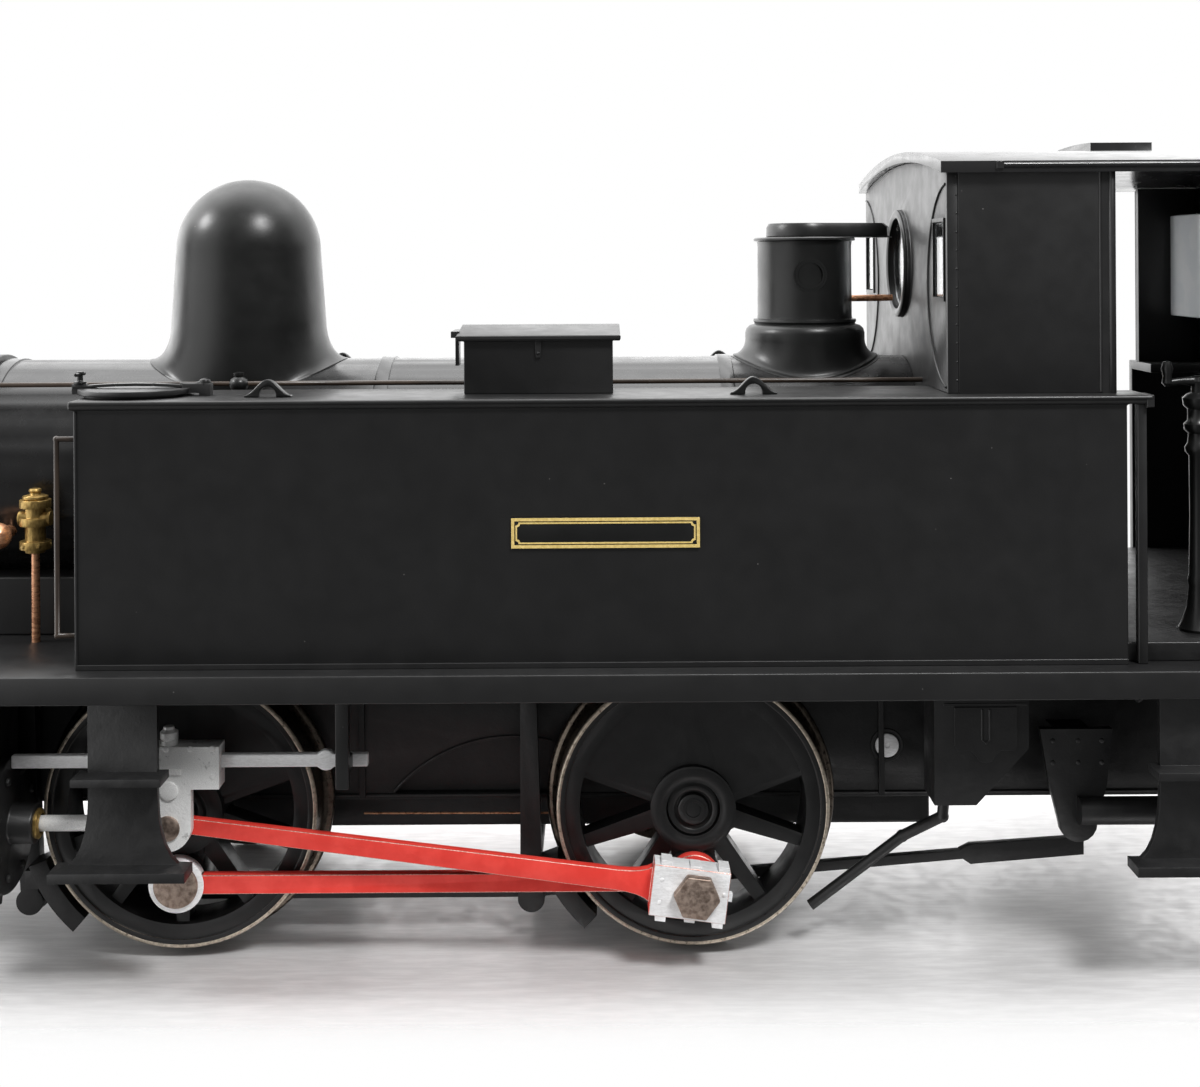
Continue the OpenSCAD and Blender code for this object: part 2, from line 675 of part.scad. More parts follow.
grab_y = tank_y1 - 0.5;
grab_x = tank_x0 - 1.05;
grab_z0 = plate_top + 1.7;
grab_z1 = tank_top - 2;
module handrails() color("#202122") both_sides() {
    rod_x(smokebox_x0 + 1.4, cab_x0, rail_y, rail_z, rail_r);
    rail_post(smokebox_x0 + 1.6, smokebox_r());
    rail_post(dome_x + 0.7, boiler_r);
    rail_post(toolbox_x, boiler_r);
    // grab rail ahead of the tank
    for (z = [grab_z0, grab_z1]) rod_x(grab_x, tank_x0, grab_y, z, rail_r);
    translate([grab_x, grab_y, grab_z0]) cylinder(h = grab_z1 - grab_z0, r = rail_r, $fn = small_fn);
    for (z = [grab_z0, grab_z1]) translate([grab_x, grab_y, z]) sphere(r = rail_r + 0.03, $fn = small_fn);
}

clack_x = tank_x0 - 4.25;
clack_y = boiler_r + 1.35;
clack_z = boiler_z - 3.6;
clack_h = 3.2;
module clack_valves() color("#b8923c") both_sides() difference() {
    union() {
        translate([clack_x, clack_y, clack_z]) {
            cylinder(h = clack_h, r = 0.55, $fn = small_fn);
            for (z = [0.2, 1.5, 2.5]) translate([0, 0, z]) cylinder(h = 0.45, r = 0.85, $fn = small_fn);
        }
        translate([clack_x, 0, clack_z + 1.9]) rotate([-90, 0, 0]) cylinder(h = clack_y, r = 0.5, $fn = small_fn);
    }
    boiler_round(boiler_r, clack_x - 3, clack_x + 3);
}

module feed_pipes() color("#8a5a34") both_sides()
    translate([clack_x, clack_y, plate_top]) cylinder(h = clack_z - plate_top, r = 0.23, $fn = small_fn);

// ---------- Brakes and sanding ----------

hanger_back = tread_r + 1.45;   // from an axle forward to its hanger
hanger_y = wheel_y0 + 0.1;
brake_z = 2.4;
pull_y = frame_y;
pull_t = 0.5;
cross_r = 0.4;
shoe_r0 = tread_r + 0.4;
shoe_y = wheel_y0 + 0.85;
hanger_t = shoe_y - hanger_y;

lug_z = brake_z + 1;
lug_len = hanger_back - sqrt(pow(shoe_r0 + 0.4, 2) - pow(axle_z - lug_z, 2));

// Arc of a ring round the tread, from angle a0 to angle a1.
module brake_shoe(a0, a1) linear_extrude(wheel_y1 - shoe_y - 0.2) intersection() {
    difference() {
        circle(shoe_r0 + 1);
        circle(shoe_r0);
    }
    polygon(concat([[0, 0]], [for (a = [a0, (a0 + a1) / 2, a1]) 14 * [cos(a), sin(a)]]));
}

module brake_set(x) {
    hx = x - hanger_back;
    for (s = [-1, 1]) on_side(s) {
        translate([hx, 0, hanger_y]) {
            linear_extrude(hanger_t) polygon([
                [-0.55, axle_z + 5.4], [0.35, axle_z + 5.4], [0.6, brake_z + 2.4],
                [0.45, brake_z], [-0.45, brake_z], [-0.6, brake_z + 2.4]]);
            translate([0, brake_z, 0]) cylinder(h = hanger_t, r = 0.75, $fn = 32);
        }
        translate([x, axle_z, shoe_y]) brake_shoe(200, 228);
        // lug between the hanger and the shoe, outboard of the flange
        translate([hx, lug_z, shoe_y - 0.1]) cube([lug_len, 1, 0.8]);
        // top pin in the frame
        translate([hx - 0.1, axle_z + 4.9, frame_y]) cylinder(h = hanger_y - frame_y + hanger_t, r = 0.35, $fn = 32);
    }
    translate([hx, 0, brake_z]) rotate([90, 0, 0])
        cylinder(h = 2 * hanger_y + 0.5, r = cross_r, center = true, $fn = 32);
}

shaft_x = drive_x + 21.2;   // middle of the brake shaft bracket
shaft_z = plate_under - 9.3;
module brake_gear() color("#0e0f10") {
    brake_set(lead_x);
    brake_set(drive_x);
    for (s = [-1, 1]) on_side(s) {
        // riveted hanger plate of the brake shaft
        translate([shaft_x, 0, frame_y + 2.1]) linear_extrude(0.5) polygon(concat(
            [[-2, shaft_z + 5.2], [2, shaft_z + 5.2], [1.7, shaft_z + 2.2]],
            [for (a = [0:-20:-180]) [1.05 * cos(a) + 0.1, shaft_z + 1.05 * sin(a)]],
            [[-1.5, shaft_z + 2.2]]));
        translate([shaft_x - 1, shaft_z + 3.8, frame_y]) cube([2, 1.2, 2.3]);
        rod_x(shaft_x, shaft_x + 6, shaft_z + 0.8, frame_y + 2.9, 0.75);
    }
}

link_x0 = drive_x + 15.5;
link_x1 = shaft_x + 1;
link_z = brake_z + 2;
module brake_rods() color("#0e0f10") for (s = [-1, 1]) on_side(s, pull_y) linear_extrude(pull_t) difference() {
    union() {
        for (x = [lead_x, drive_x]) translate([x - hanger_back, brake_z]) circle(0.8, $fn = 32);
        translate([lead_x - hanger_back, brake_z - 0.3]) square([wheelbase, 1.3]);
        polygon([[drive_x - hanger_back, brake_z - 0.3], [link_x0, link_z - 0.3],
                 [link_x0, link_z + 0.2], [drive_x - hanger_back, brake_z + 0.3]]);
        polygon([[link_x0 - 0.3, link_z - 0.2], [link_x0 + 0.3, link_z - 0.6], [link_x1, link_z - 0.1],
                 [link_x1, link_z + 0.9], [link_x0 + 0.3, link_z + 0.5], [link_x0 - 0.3, link_z + 0.2]]);
    }
    for (x = [lead_x, drive_x]) translate([x - hanger_back, brake_z]) circle(cross_r + fit, $fn = 32);
}

module rod_between(p, q, r) {
    d = q - p;
    translate(p) rotate([0, acos(d.z / norm(d)), atan2(d.y, d.x)]) cylinder(h = norm(d), r = r, $fn = small_fn);
}

sand_x = drive_x + 12.6;    // front face of a sandbox
sand_len = 5;
sand_y0 = frame_y + 3.6;
sand_y1 = frame_y + 6.4;
sand_z0 = plate_under - 7;
pipe_r = 0.3;
module sandboxes() color("#0e0f10") both_sides() {
    p0 = [sand_x + 0.9, sand_y0 + 1, sand_z0 + 0.2];
    p1 = [sand_x + 0.8, sand_y0 + 0.9, sand_z0 - 1.2];
    p2 = [sand_x - 1, wheel_y1 - 1.1, sand_z0 - 3];
    p3 = [drive_x + 6.5, wheel_y1 - 1.1, 2.3];
    translate([0, sand_y1, 0]) rotate([90, 0, 0]) linear_extrude(sand_y1 - sand_y0) polygon([
        [sand_x, plate_under], [sand_x + sand_len, plate_under], [sand_x + sand_len, plate_under - 4],
        [sand_x + 2.2, sand_z0], [sand_x, sand_z0]]);
    for (pq = [[p0, p1], [p1, p2], [p2, p3]]) rod_between(pq[0], pq[1], pipe_r);
    for (p = [p1, p2]) translate(p) sphere(r = pipe_r + 0.04, $fn = small_fn);
}

// ---------- Wheels ----------

// Direction of each crank, in degrees from +X towards +Z. The right crank leads by a quarter turn.
left_crank = -90;
right_crank = 0;
function crank(side) = side < 0 ? left_crank : right_crank;
function crank_at(side) = throw * [cos(crank(side)), sin(crank(side))];

// Draws round an axle at x, on one side, with +X of the drawing along the crank.
module on_wheel(side, x) on_side(side) translate([x, axle_z, 0]) rotate([0, 0, crank(side)]) children();

spoke_y = wheel_y0 + 0.9;
weight_half = 72;           // half the arc of the balance weight

module wheel_centre(side, x) on_wheel(side, x) difference() {
    union() {
        translate([0, 0, wheel_y0]) linear_extrude(wheel_w - 0.1) difference() {
            circle(rim_r - fit);
            circle(rim_in_r);
        }
        translate([0, 0, spoke_y]) linear_extrude(1.4) for (i = [0:spokes - 1]) rotate(i * 360 / spokes)
            polygon([[hub_r - 0.3, -0.5], [rim_in_r + 0.2, -0.34], [rim_in_r + 0.2, 0.34], [hub_r - 0.3, 0.5]]);
        translate([0, 0, spoke_y - 0.2]) linear_extrude(1.8) intersection() {
            circle(rim_in_r + 0.2);
            polygon(concat([[0, 0]], [for (a = [-weight_half:24:weight_half]) 9 * [-cos(a), sin(a)]]));
        }
        translate([0, 0, wheel_y0 - 0.2]) cylinder(h = hub_y - wheel_y0 + 0.2, r = hub_r);
        translate([throw, 0, spoke_y]) cylinder(h = hub_y - spoke_y, r = 1.45);
        translate([0, -1.2, spoke_y]) cube([throw, 2.4, hub_y - spoke_y - 0.4]);
    }
    translate([0, 0, wheel_y0 - 1]) cylinder(h = wheel_w + 3, r = axle_r + fit);
    translate([throw, 0, spoke_y + 0.5]) cylinder(h = wheel_w, r = pin_d / 2 + fit);
}

module tyre(side, x) on_wheel(side, x) translate([0, 0, wheel_y0]) rotate_extrude() polygon(concat(
    [[rim_r, 0], [flange_r - 0.3, 0]],
    [for (a = [-90:30:90]) [flange_r - 0.3 + 0.3 * cos(a), 0.3 + 0.3 * sin(a)]],
    [[tread_r + 0.05, 0.85], [tread_r, 1.0], [tread_r - 0.07, wheel_w - 0.15], [tread_r - 0.2, wheel_w],
     [rim_r, wheel_w]]));

module axle_set(x, pin_end) {
    translate([x, 0, axle_z]) rotate([90, 0, 0]) {
        cylinder(h = 2 * (hub_y - 0.3), r = axle_r, center = true);
        cylinder(h = 2 * (hub_y + 0.05), r = 0.84, center = true, $fn = 32);
    }
    for (s = [-1, 1]) on_wheel(s, x) translate([throw, 0, spoke_y + 0.5])
        cylinder(h = pin_end - spoke_y - 0.5, r = pin_d / 2);
}

module driving_wheels() color("#0e0f10") for (s = [-1, 1]) wheel_centre(s, drive_x);
module leading_wheels() color("#0e0f10") for (s = [-1, 1]) wheel_centre(s, lead_x);
module driving_tyres() color("#8f8676") for (s = [-1, 1]) tyre(s, drive_x);
module leading_tyres() color("#8f8676") for (s = [-1, 1]) tyre(s, lead_x);
module driving_axle() color("#77716a") axle_set(drive_x, pin_head_y1);
module leading_axle() color("#77716a") {
    axle_set(lead_x, coupling_y1 + seat);
    for (s = [-1, 1]) on_wheel(s, lead_x) translate([throw, 0, coupling_y1 + seat])
        cylinder(h = pin_head_y1 - coupling_y1 - seat, r = 1.2);
}

// ---------- Rods and crossheads ----------

module coupling_rod(side) color("#c4201c") on_side(side, coupling_y0)
    translate([drive_x + crank_at(side).x, axle_z + crank_at(side).y, 0])
        linear_extrude(coupling_t) difference() {
            union() {
                circle(boss_r);
                translate([-wheelbase, 0]) circle(boss_r);
                translate([-wheelbase, -coupling_h / 2]) square([wheelbase, coupling_h]);
            }
            for (x = [0, -wheelbase]) translate([x, 0]) circle(pin_d / 2 + run);
        }
module coupling_rod_left() coupling_rod(-1);
module coupling_rod_right() coupling_rod(1);

// Place and slope of each connecting rod with the cranks as they stand.
function slide_x(side) = side < 0 ? crosshead_x : crosshead_rear_x;
function rod_slope(side) = side < 0 ? -con_dip : 0;

slipper_x0 = -2.4;
slipper_x1 = 2.75;
slipper_z0 = 2.05;
slipper_z1 = bar_z - axle_z + bar_h / 2 + 0.6;
cheek_r = 1.25;
eye_out_r = 0.95;
piston_back = -1.15;        // rear face of the piston rod socket
crosshead_y0 = pin_head_y1 + 0.08;

module crosshead(side) color("#a5a8aa") on_side(side) translate([slide_x(side), axle_z, 0]) {
    difference() {
        union() {
            // outer cheek with the slipper above it
            translate([0, 0, cheek_y0]) linear_extrude(cheek_y1 - cheek_y0) {
                circle(cheek_r);
                translate([-cheek_r, 0]) square([2 * cheek_r, slipper_z0 + 1]);
            }
            translate([slipper_x0, slipper_z0, crosshead_y0])
                cube([slipper_x1 - slipper_x0, slipper_z1 - slipper_z0, cheek_y1 - crosshead_y0]);
            translate([piston_back - 1.15, -0.9, crosshead_y0]) cube([1.15, 1.8, cheek_y1 - crosshead_y0]);
            translate([piston_back - 0.2, -0.9, cheek_y0]) cube([0.5, 1.8, cheek_y1 - cheek_y0]);
            // oil cup
            translate([0, slipper_z1 - 0.2, cheek_y1 - 0.6]) rotate([-90, 0, 0])
                cylinder(h = 0.9, r = 0.45, $fn = small_fn);
        }
        // slot that rides on the slide bar
        translate([slipper_x0 - 1, bar_z - axle_z - bar_h / 2 - seat, bar_y0 - seat])
            cube([slipper_x1 - slipper_x0 + 2, bar_h + 2 * seat, bar_y1 - bar_y0 + 2 * seat]);
    }
    translate([0, 0, con_y0]) cylinder(h = cheek_y1 - con_y0 + 0.12, r = small_pin_r, $fn = 32);
    rod_x(cyl_x1 - stuff_len - crosshead_rear_x, piston_back - 0.5, 0, motion_y, piston_r);
}
module crosshead_left() crosshead(-1);
module crosshead_right() crosshead(1);

big_y0 = pin_head_y1 + run;
big_y1 = cheek_y1 + 0.1;
big_x0 = -2.4;
big_x1 = 1.7;
big_h = 2.7;
screw_r = 0.7;
con_h0 = 0.83;
con_h1 = 1.1;

// Connecting rod lying along +X of the drawing from its small end at the origin.
module connecting_rod(side) color("#d2231f") on_side(side) translate([slide_x(side), axle_z, 0])
    rotate([0, 0, rod_slope(side)]) difference() {
        union() {
            translate([0, 0, con_y0]) linear_extrude(con_t) {
                circle(eye_out_r);
                polygon(concat(
                    [[0, -con_h0 / 2], [con_len + big_x0 - 1.8, -con_h1 / 2]],
                    [for (a = [0:18:90]) [con_len + big_x0 - 1.8 + 1.9 * sin(a), -con_h1 / 2 - 0.6 * (1 - cos(a))]],
                    [for (a = [90:-18:0]) [con_len + big_x0 - 1.8 + 1.9 * sin(a), con_h1 / 2 + 0.6 * (1 - cos(a))]],
                    [[0, con_h0 / 2]]));
            }
            translate([con_len + big_x0, -big_h / 2, big_y0]) cube([big_x1 - big_x0, big_h, big_y1 - big_y0]);
        }
        translate([0, 0, con_y0 - 1]) cylinder(h = con_t + 2, r = small_pin_r + seat, $fn = 32);
        translate([con_len, 0, big_y0 - 1]) cylinder(h = big_y1 - big_y0 + 2, r = screw_r + fit, $fn = 32);
    }
module connecting_rod_left() connecting_rod(-1);
module connecting_rod_right() connecting_rod(1);

module crank_screw(side) color("#7a5a48") on_side(side) translate([slide_x(side), axle_z, 0])
    rotate([0, 0, rod_slope(side)]) translate([con_len, 0, 0]) {
        translate([0, 0, big_y0]) cylinder(h = big_y1 - big_y0, r = screw_r, $fn = 32);
        translate([0, 0, big_y1]) cylinder(h = 0.55, r = 1.25, $fn = 6);
    }
module crank_screw_left() crank_screw(-1);
module crank_screw_right() crank_screw(1);

running_plate();
front_beam();
rear_beam();
chassis();
keeper_plate();
boiler();
motor();
smokebox();
smokebox_door();
chimney();
dome();
safety_valve();
side_tank_left();
side_tank_right();
tank_fillers();
toolbox();
lifting_eyes();
name_plates();
cab_front();
cab_side_left();
cab_side_right();
cab_rear();
cab_roof();
cab_floor();
cab_posts();
backhead();
handbrake();
cab_glazing();
cylinder_left();
cylinder_right();
slide_bar_left();
slide_bar_right();
motion_brackets();
footsteps();
front_buffers();
rear_buffers();
couplings();
handrails();
clack_valves();
feed_pipes();
brake_gear();
brake_rods();
sandboxes();
driving_wheels();
driving_tyres();
driving_axle();
leading_wheels();
leading_tyres();
leading_axle();
coupling_rod_left();
coupling_rod_right();
crosshead_left();
crosshead_right();
connecting_rod_left();
connecting_rod_right();
crank_screw_left();
crank_screw_right();
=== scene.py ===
"""The looks of a model dock locomotive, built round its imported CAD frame.

Lengths are in millimetres in the frame of the part: the front is at -X, the left side at -Y and
the rails' top at Z = 0. Mesh builders turn them into metres. Each section makes one group of
pieces: materials, rounded copies of the CAD nodes, then the detail that the CAD leaves out."""
import json
import math

import bmesh
import bpy
from mathutils import Matrix, Vector


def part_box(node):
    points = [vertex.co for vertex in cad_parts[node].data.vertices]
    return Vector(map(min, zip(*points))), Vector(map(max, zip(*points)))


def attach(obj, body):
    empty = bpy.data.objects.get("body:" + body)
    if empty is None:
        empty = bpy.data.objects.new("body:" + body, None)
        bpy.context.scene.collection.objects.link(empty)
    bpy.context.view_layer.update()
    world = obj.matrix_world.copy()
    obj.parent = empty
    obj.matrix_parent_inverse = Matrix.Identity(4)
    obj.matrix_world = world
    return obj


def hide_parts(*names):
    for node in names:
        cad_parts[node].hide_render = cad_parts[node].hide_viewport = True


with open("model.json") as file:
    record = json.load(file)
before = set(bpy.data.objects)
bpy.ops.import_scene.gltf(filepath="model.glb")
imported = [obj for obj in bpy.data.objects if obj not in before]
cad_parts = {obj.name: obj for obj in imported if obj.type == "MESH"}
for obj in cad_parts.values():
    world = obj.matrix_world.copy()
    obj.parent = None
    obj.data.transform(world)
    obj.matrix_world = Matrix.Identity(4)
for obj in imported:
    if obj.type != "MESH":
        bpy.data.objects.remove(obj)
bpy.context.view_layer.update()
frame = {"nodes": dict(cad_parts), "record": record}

MM = 0.001
LEFT, RIGHT = -1, 1
SIDES = (LEFT, RIGHT)
SIDE_NAME = {LEFT: "left", RIGHT: "right"}

# ---------- Places in the CAD model ----------

AXLE_Z = 8.05
LEAD_X = -20.5
DRIVE_X = 7.5
THROW = 3.67
ROD_LEN = math.hypot(DRIVE_X - LEAD_X, THROW)
PLATE_UNDER = 16.1
PLATE_TOP = 16.9
BOILER_Z = 25.5
BOILER_R = 6.65
SMOKEBOX_R = 7.0
SMOKEBOX_X0 = -42.5
SMOKEBOX_X1 = -33.5
CHIMNEY_X = -38.0
CHIMNEY_TOP = 46.5
DOME_X = -18.7
DOME_TOP = 43.0
VALVE_X = 15.0
VALVE_TOP = 39.3
TANK_X0 = -24.75
TANK_X1 = 29.9
TANK_Y = 14.5
TANK_TOP = 30.85
LID_TOP = TANK_TOP + 0.42
FILLER_X = -22.5
FILLER_Y = 11.0
TOOLBOX_X = -0.74
BEAM_X = 45.0
CLACK_X = -29.0
CLACK_Y = 8.0
CYLINDER_Y = 11.7
CYLINDER_ENDS = (-39.45, -28.95)
FRAME_Y = 6.5
SCREW_X = 18.7
SCREW_Z = 10.4
GUTTER_Z = 42.88
CAB_X0 = 20.9
CAB_X1 = 44.0
CAB_Y = 13.0
CAB_EAVES = 42.5
DOOR_X1 = 39.4
SHEET = 0.6
ROOF_Y = 13.5
WINDOW_Z = 37.7
WINDOW_R = 2.75
HUB_Y = 10.15
LEFT_CRANK_Z = AXLE_Z - THROW

# ---------- Materials ----------


def map_range(tree, value, low, high, to_low, to_high):
    """A node that takes value smoothly from one range to another."""
    made = tree.nodes.new("ShaderNodeMapRange")
    made.interpolation_type = "SMOOTHSTEP"
    for key, number in zip(("From Min", "From Max", "To Min", "To Max"), (low, high, to_low, to_high)):
        made.inputs[key].default_value = number
    tree.links.new(value, made.inputs["Value"])
    return made.outputs["Result"]


class Shader:
    """A node material with one Principled shader, built from small helpers."""

    def __init__(self, name, **sockets):
        self.material = bpy.data.materials.new(name)
        self.material.use_nodes = True
        self.tree = self.material.node_tree
        self.tree.nodes.clear()
        self.out = self.node("ShaderNodeOutputMaterial")
        self.bsdf = self.node("ShaderNodeBsdfPrincipled")
        self.link(self.bsdf.outputs["BSDF"], self.out.inputs["Surface"])
        for socket, value in sockets.items():
            self.bsdf.inputs[socket.replace("_", " ")].default_value = value
        self.coordinates = self.node("ShaderNodeTexCoord").outputs["Object"]

    def node(self, kind, **values):
        made = self.tree.nodes.new(kind)
        for key, value in values.items():
            setattr(made, key, value)
        return made

    def link(self, a, b):
        self.tree.links.new(a, b)

    def stretched(self, scale):
        """The object's coordinates stretched by three factors."""
        mapping = self.node("ShaderNodeMapping")
        mapping.inputs["Scale"].default_value = scale
        self.link(self.coordinates, mapping.inputs["Vector"])
        return mapping.outputs["Vector"]

    def noise(self, size, detail=3.0, roughness=0.55, vector=None):
        """Noise whose lumps are about size millimetres across."""
        made = self.node("ShaderNodeTexNoise")
        made.inputs["Scale"].default_value = 1 / (size * MM)
        made.inputs["Detail"].default_value = detail
        made.inputs["Roughness"].default_value = roughness
        self.link(self.coordinates if vector is None else vector, made.inputs["Vector"])
        return made.outputs["Fac"]

    def spots(self, size, share):
        """Small dots, apart by about size millimetres, of share that radius, as a 0 to 1 mask."""
        made = self.node("ShaderNodeTexVoronoi")
        made.inputs["Scale"].default_value = 1 / (size * MM)
        self.link(self.coordinates, made.inputs["Vector"])
        return self.ramp(made.outputs["Distance"], share * 0.7, share, 1.0, 0.0)

    def ramp(self, value, low, high, to_low=0.0, to_high=1.0):
        return map_range(self.tree, value, low, high, to_low, to_high)

    def multiply(self, a, b):
        made = self.node("ShaderNodeMath", operation="MULTIPLY")
        self.link(a, made.inputs[0])
        if isinstance(b, (int, float)):
            made.inputs[1].default_value = b
        else:
            self.link(b, made.inputs[1])
        return made.outputs["Value"]

    def mix(self, factor, a, b):
        """Blends two colours, each a socket or an RGB triple."""
        made = self.node("ShaderNodeMix", data_type="RGBA")
        self.link(factor, made.inputs["Factor"])
        for socket, value in ((made.inputs[6], a), (made.inputs[7], b)):
            if isinstance(value, tuple):
                socket.default_value = (*value, 1.0)
            else:
                self.link(value, socket)
        return made.outputs[2]

    def axis(self, which):
        made = self.node("ShaderNodeSeparateXYZ")
        self.link(self.coordinates, made.inputs["Vector"])
        return made.outputs[which]

    def colour(self, value):
        self.link(value, self.bsdf.inputs["Base Color"])

    def roughness(self, value, low, high):
        self.link(self.ramp(value, 0.3, 0.7, low, high), self.bsdf.inputs["Roughness"])

    def bump(self, value, depth, chain=None):
        """Raises the surface by value times depth millimetres."""
        made = self.node("ShaderNodeBump")
        made.inputs["Distance"].default_value = depth * MM
        self.link(value, made.inputs["Height"])
        if chain is not None:
            self.link(chain, made.inputs["Normal"])
        self.link(made.outputs["Normal"], self.bsdf.inputs["Normal"])
        return made.outputs["Normal"]


def paint(name, dark, light, rough, grain=0.12, depth=0.004, dust=0.35, **sockets):
    """Sprayed paint: soft mottling, a fine orange peel and a few specks of dust."""
    s = Shader(name, **sockets)
    mottle = s.noise(3.0, 4.0)
    base = s.mix(s.ramp(mottle, 0.35, 0.7), dark, light)
    specks = s.multiply(s.spots(1.7, 0.022), dust)
    s.colour(s.mix(specks, base, (0.32, 0.31, 0.3)))
    s.roughness(s.noise(1.2, 4.0), *rough)
    s.bump(s.noise(grain, 2.0), depth)
    return s.material


def metal(name, dark, light, rough, streak=(1, 1, 1), size=0.5, depth=0.006, bare=1.0):
    """Bare or metal-painted surface: tone and roughness change along its working marks."""
    s = Shader(name, Metallic=bare)
    marks = s.noise(size, 5.0, 0.6, s.stretched(streak))
    tarnish = s.noise(1.6, 4.0)
    tone = s.mix(s.ramp(marks, 0.3, 0.7), dark, light)
    s.colour(s.mix(s.ramp(tarnish, 0.55, 0.8, 0.0, 0.55), tone, dark))
    s.roughness(marks, *rough)
    s.bump(marks, depth)
    return s.material


def casting(name, dark, light, rough, depth=0.03):
    """Painted die casting: small pits and lumps under the paint."""
    s = Shader(name)
    lumps = s.noise(0.9, 5.0, 0.6)
    s.colour(s.mix(s.ramp(lumps, 0.35, 0.7), dark, light))
    s.roughness(s.noise(0.7, 3.0), *rough)
    s.bump(s.noise(0.16, 2.0), depth * 0.3, s.bump(lumps, depth))
    return s.material


def scuffed_red():
    """Red paint on an etched rod, thin on the edges and nicked in a few places."""
    s = Shader("rod_red", Specular_IOR_Level=0.45)
    tone = s.mix(s.ramp(s.noise(1.4, 4.0), 0.35, 0.7), (0.78, 0.045, 0.032), (0.88, 0.07, 0.052))
    nicks = s.ramp(s.noise(0.55, 5.0, 0.75), 0.735, 0.76)
    s.colour(s.mix(nicks, tone, (0.5, 0.36, 0.33)))
    s.roughness(s.noise(0.5, 3.0), 0.38, 0.5)
    s.bump(s.noise(0.14, 2.0), 0.005)
    return s.material


def silver_paint():
    """Grey metallic paint with a fine sparkle and wear to darker patches."""
    s = Shader("crosshead_grey", Metallic=0.15)
    flakes = s.noise(0.05, 1.0)
    tone = s.mix(s.ramp(flakes, 0.35, 0.65), (0.78, 0.78, 0.77), (0.92, 0.92, 0.91))
    dirt = s.ramp(s.noise(0.5, 4.0, 0.7), 0.6, 0.72, 0.0, 0.6)
    s.colour(s.mix(dirt, tone, (0.2, 0.2, 0.2)))
    s.roughness(s.noise(0.4, 3.0), 0.36, 0.5)
    s.bump(s.noise(0.18, 4.0), 0.03)
    return s.material


def clear_glazing(name, clear):
    """Clear moulded plastic, of which a share is milky."""
    s = Shader(name, Transmission_Weight=clear, IOR=1.46)
    s.colour(s.mix(s.ramp(s.noise(2.0, 2.0), 0.4, 0.6), (0.9, 0.93, 0.95), (0.97, 0.98, 0.99)))
    s.roughness(s.noise(0.8, 2.0), 0.02, 0.07)
    return s.material


MATERIALS = {
    "body_black": paint("body_black", (0.0085, 0.0085, 0.0087), (0.011, 0.011, 0.0112), (0.36, 0.44)),
    "gloss_black": paint("gloss_black", (0.005, 0.0052, 0.0051), (0.007, 0.0073, 0.0071), (0.3, 0.38),
            depth=0.003,
                         Specular_IOR_Level=0.38),
    "boiler_black": paint("boiler_black", (0.0085, 0.0085, 0.0087), (0.011, 0.011, 0.0112), (0.22, 0.3),
            depth=0.0015),
    "roof_black": paint("roof_black", (0.013, 0.013, 0.0135), (0.018, 0.018, 0.0185), (0.2, 0.28),
                        depth=0.0015),
    "frame_black": casting("frame_black", (0.0075, 0.0075, 0.0078), (0.012, 0.012, 0.0122), (0.4, 0.52)),
    "wheel_black": casting("wheel_black", (0.006, 0.006, 0.0062), (0.0095, 0.0095, 0.0098), (0.34, 0.46),
            0.012),
    "rail_black": paint("rail_black", (0.022, 0.015, 0.011), (0.045, 0.031, 0.022), (0.28, 0.38), dust=0.1),
    "tyre_steel": metal("tyre_steel", (0.2, 0.175, 0.15), (0.36, 0.325, 0.28), (0.28, 0.4), (1, 1, 1),
                        0.25),
    # two more tones of the tyre metal: a brighter one for the corner ring, which is a painted highlight,
    # and a darker one for the rolling face, which is painted shade
    "tyre_edge_painted_highlight": metal("tyre_edge_painted_highlight", (0.34, 0.29, 0.23), (0.62, 0.54, 0.44), (0.26, 0.38), (1, 1, 1), 0.25,
                       bare=0.55),
    "tread_painted_shade": metal("tread_painted_shade", (0.07, 0.058, 0.048), (0.15, 0.125, 0.1), (0.26, 0.38), (1, 1, 1),
                        0.25),
    "pin_steel": metal("pin_steel", (0.2, 0.145, 0.115), (0.46, 0.37, 0.31), (0.42, 0.62), (1, 1, 1), 0.35,
                       0.03),
    "rod_red": scuffed_red(),
    "rod_edge": metal("rod_edge", (0.5, 0.22, 0.18), (0.85, 0.6, 0.54), (0.35, 0.5), (4, 4, 4), 0.4),
    "crosshead_grey": silver_paint(),
    "slide_bar_steel": metal("slide_bar_steel", (0.8, 0.8, 0.8), (0.95, 0.95, 0.96), (0.32, 0.5), (1, 3, 3),
            0.3, 0.03,
                             bare=0.15),
    "valve_brass": metal("valve_brass", (0.24, 0.15, 0.045), (0.5, 0.34, 0.115), (0.28, 0.42), (2, 2, 1),
            0.3,
                         bare=0.75),
    "pipe_copper": metal("pipe_copper", (0.42, 0.19, 0.1), (0.72, 0.38, 0.21), (0.22, 0.36), (1, 1, 3), 0.4,
                         bare=0.6),
    "plate_brass": metal("plate_brass", (0.66, 0.48, 0.15), (0.84, 0.64, 0.24), (0.38, 0.5), (1, 1, 1),
            0.15,
                         bare=0.2),
    "window_clear": clear_glazing("window_clear", 1.0),
    "moulded_clear": clear_glazing("moulded_clear", 0.6),
    "motor_steel": metal("motor_steel", (0.3, 0.3, 0.31), (0.5, 0.5, 0.51), (0.3, 0.45), (8, 1, 1), 0.4),
    "buffer_metal": metal("buffer_metal", (0.05, 0.05, 0.052), (0.16, 0.155, 0.15), (0.34, 0.48), (1, 1, 1),
            0.4),
}

# ---------- Mesh building ----------


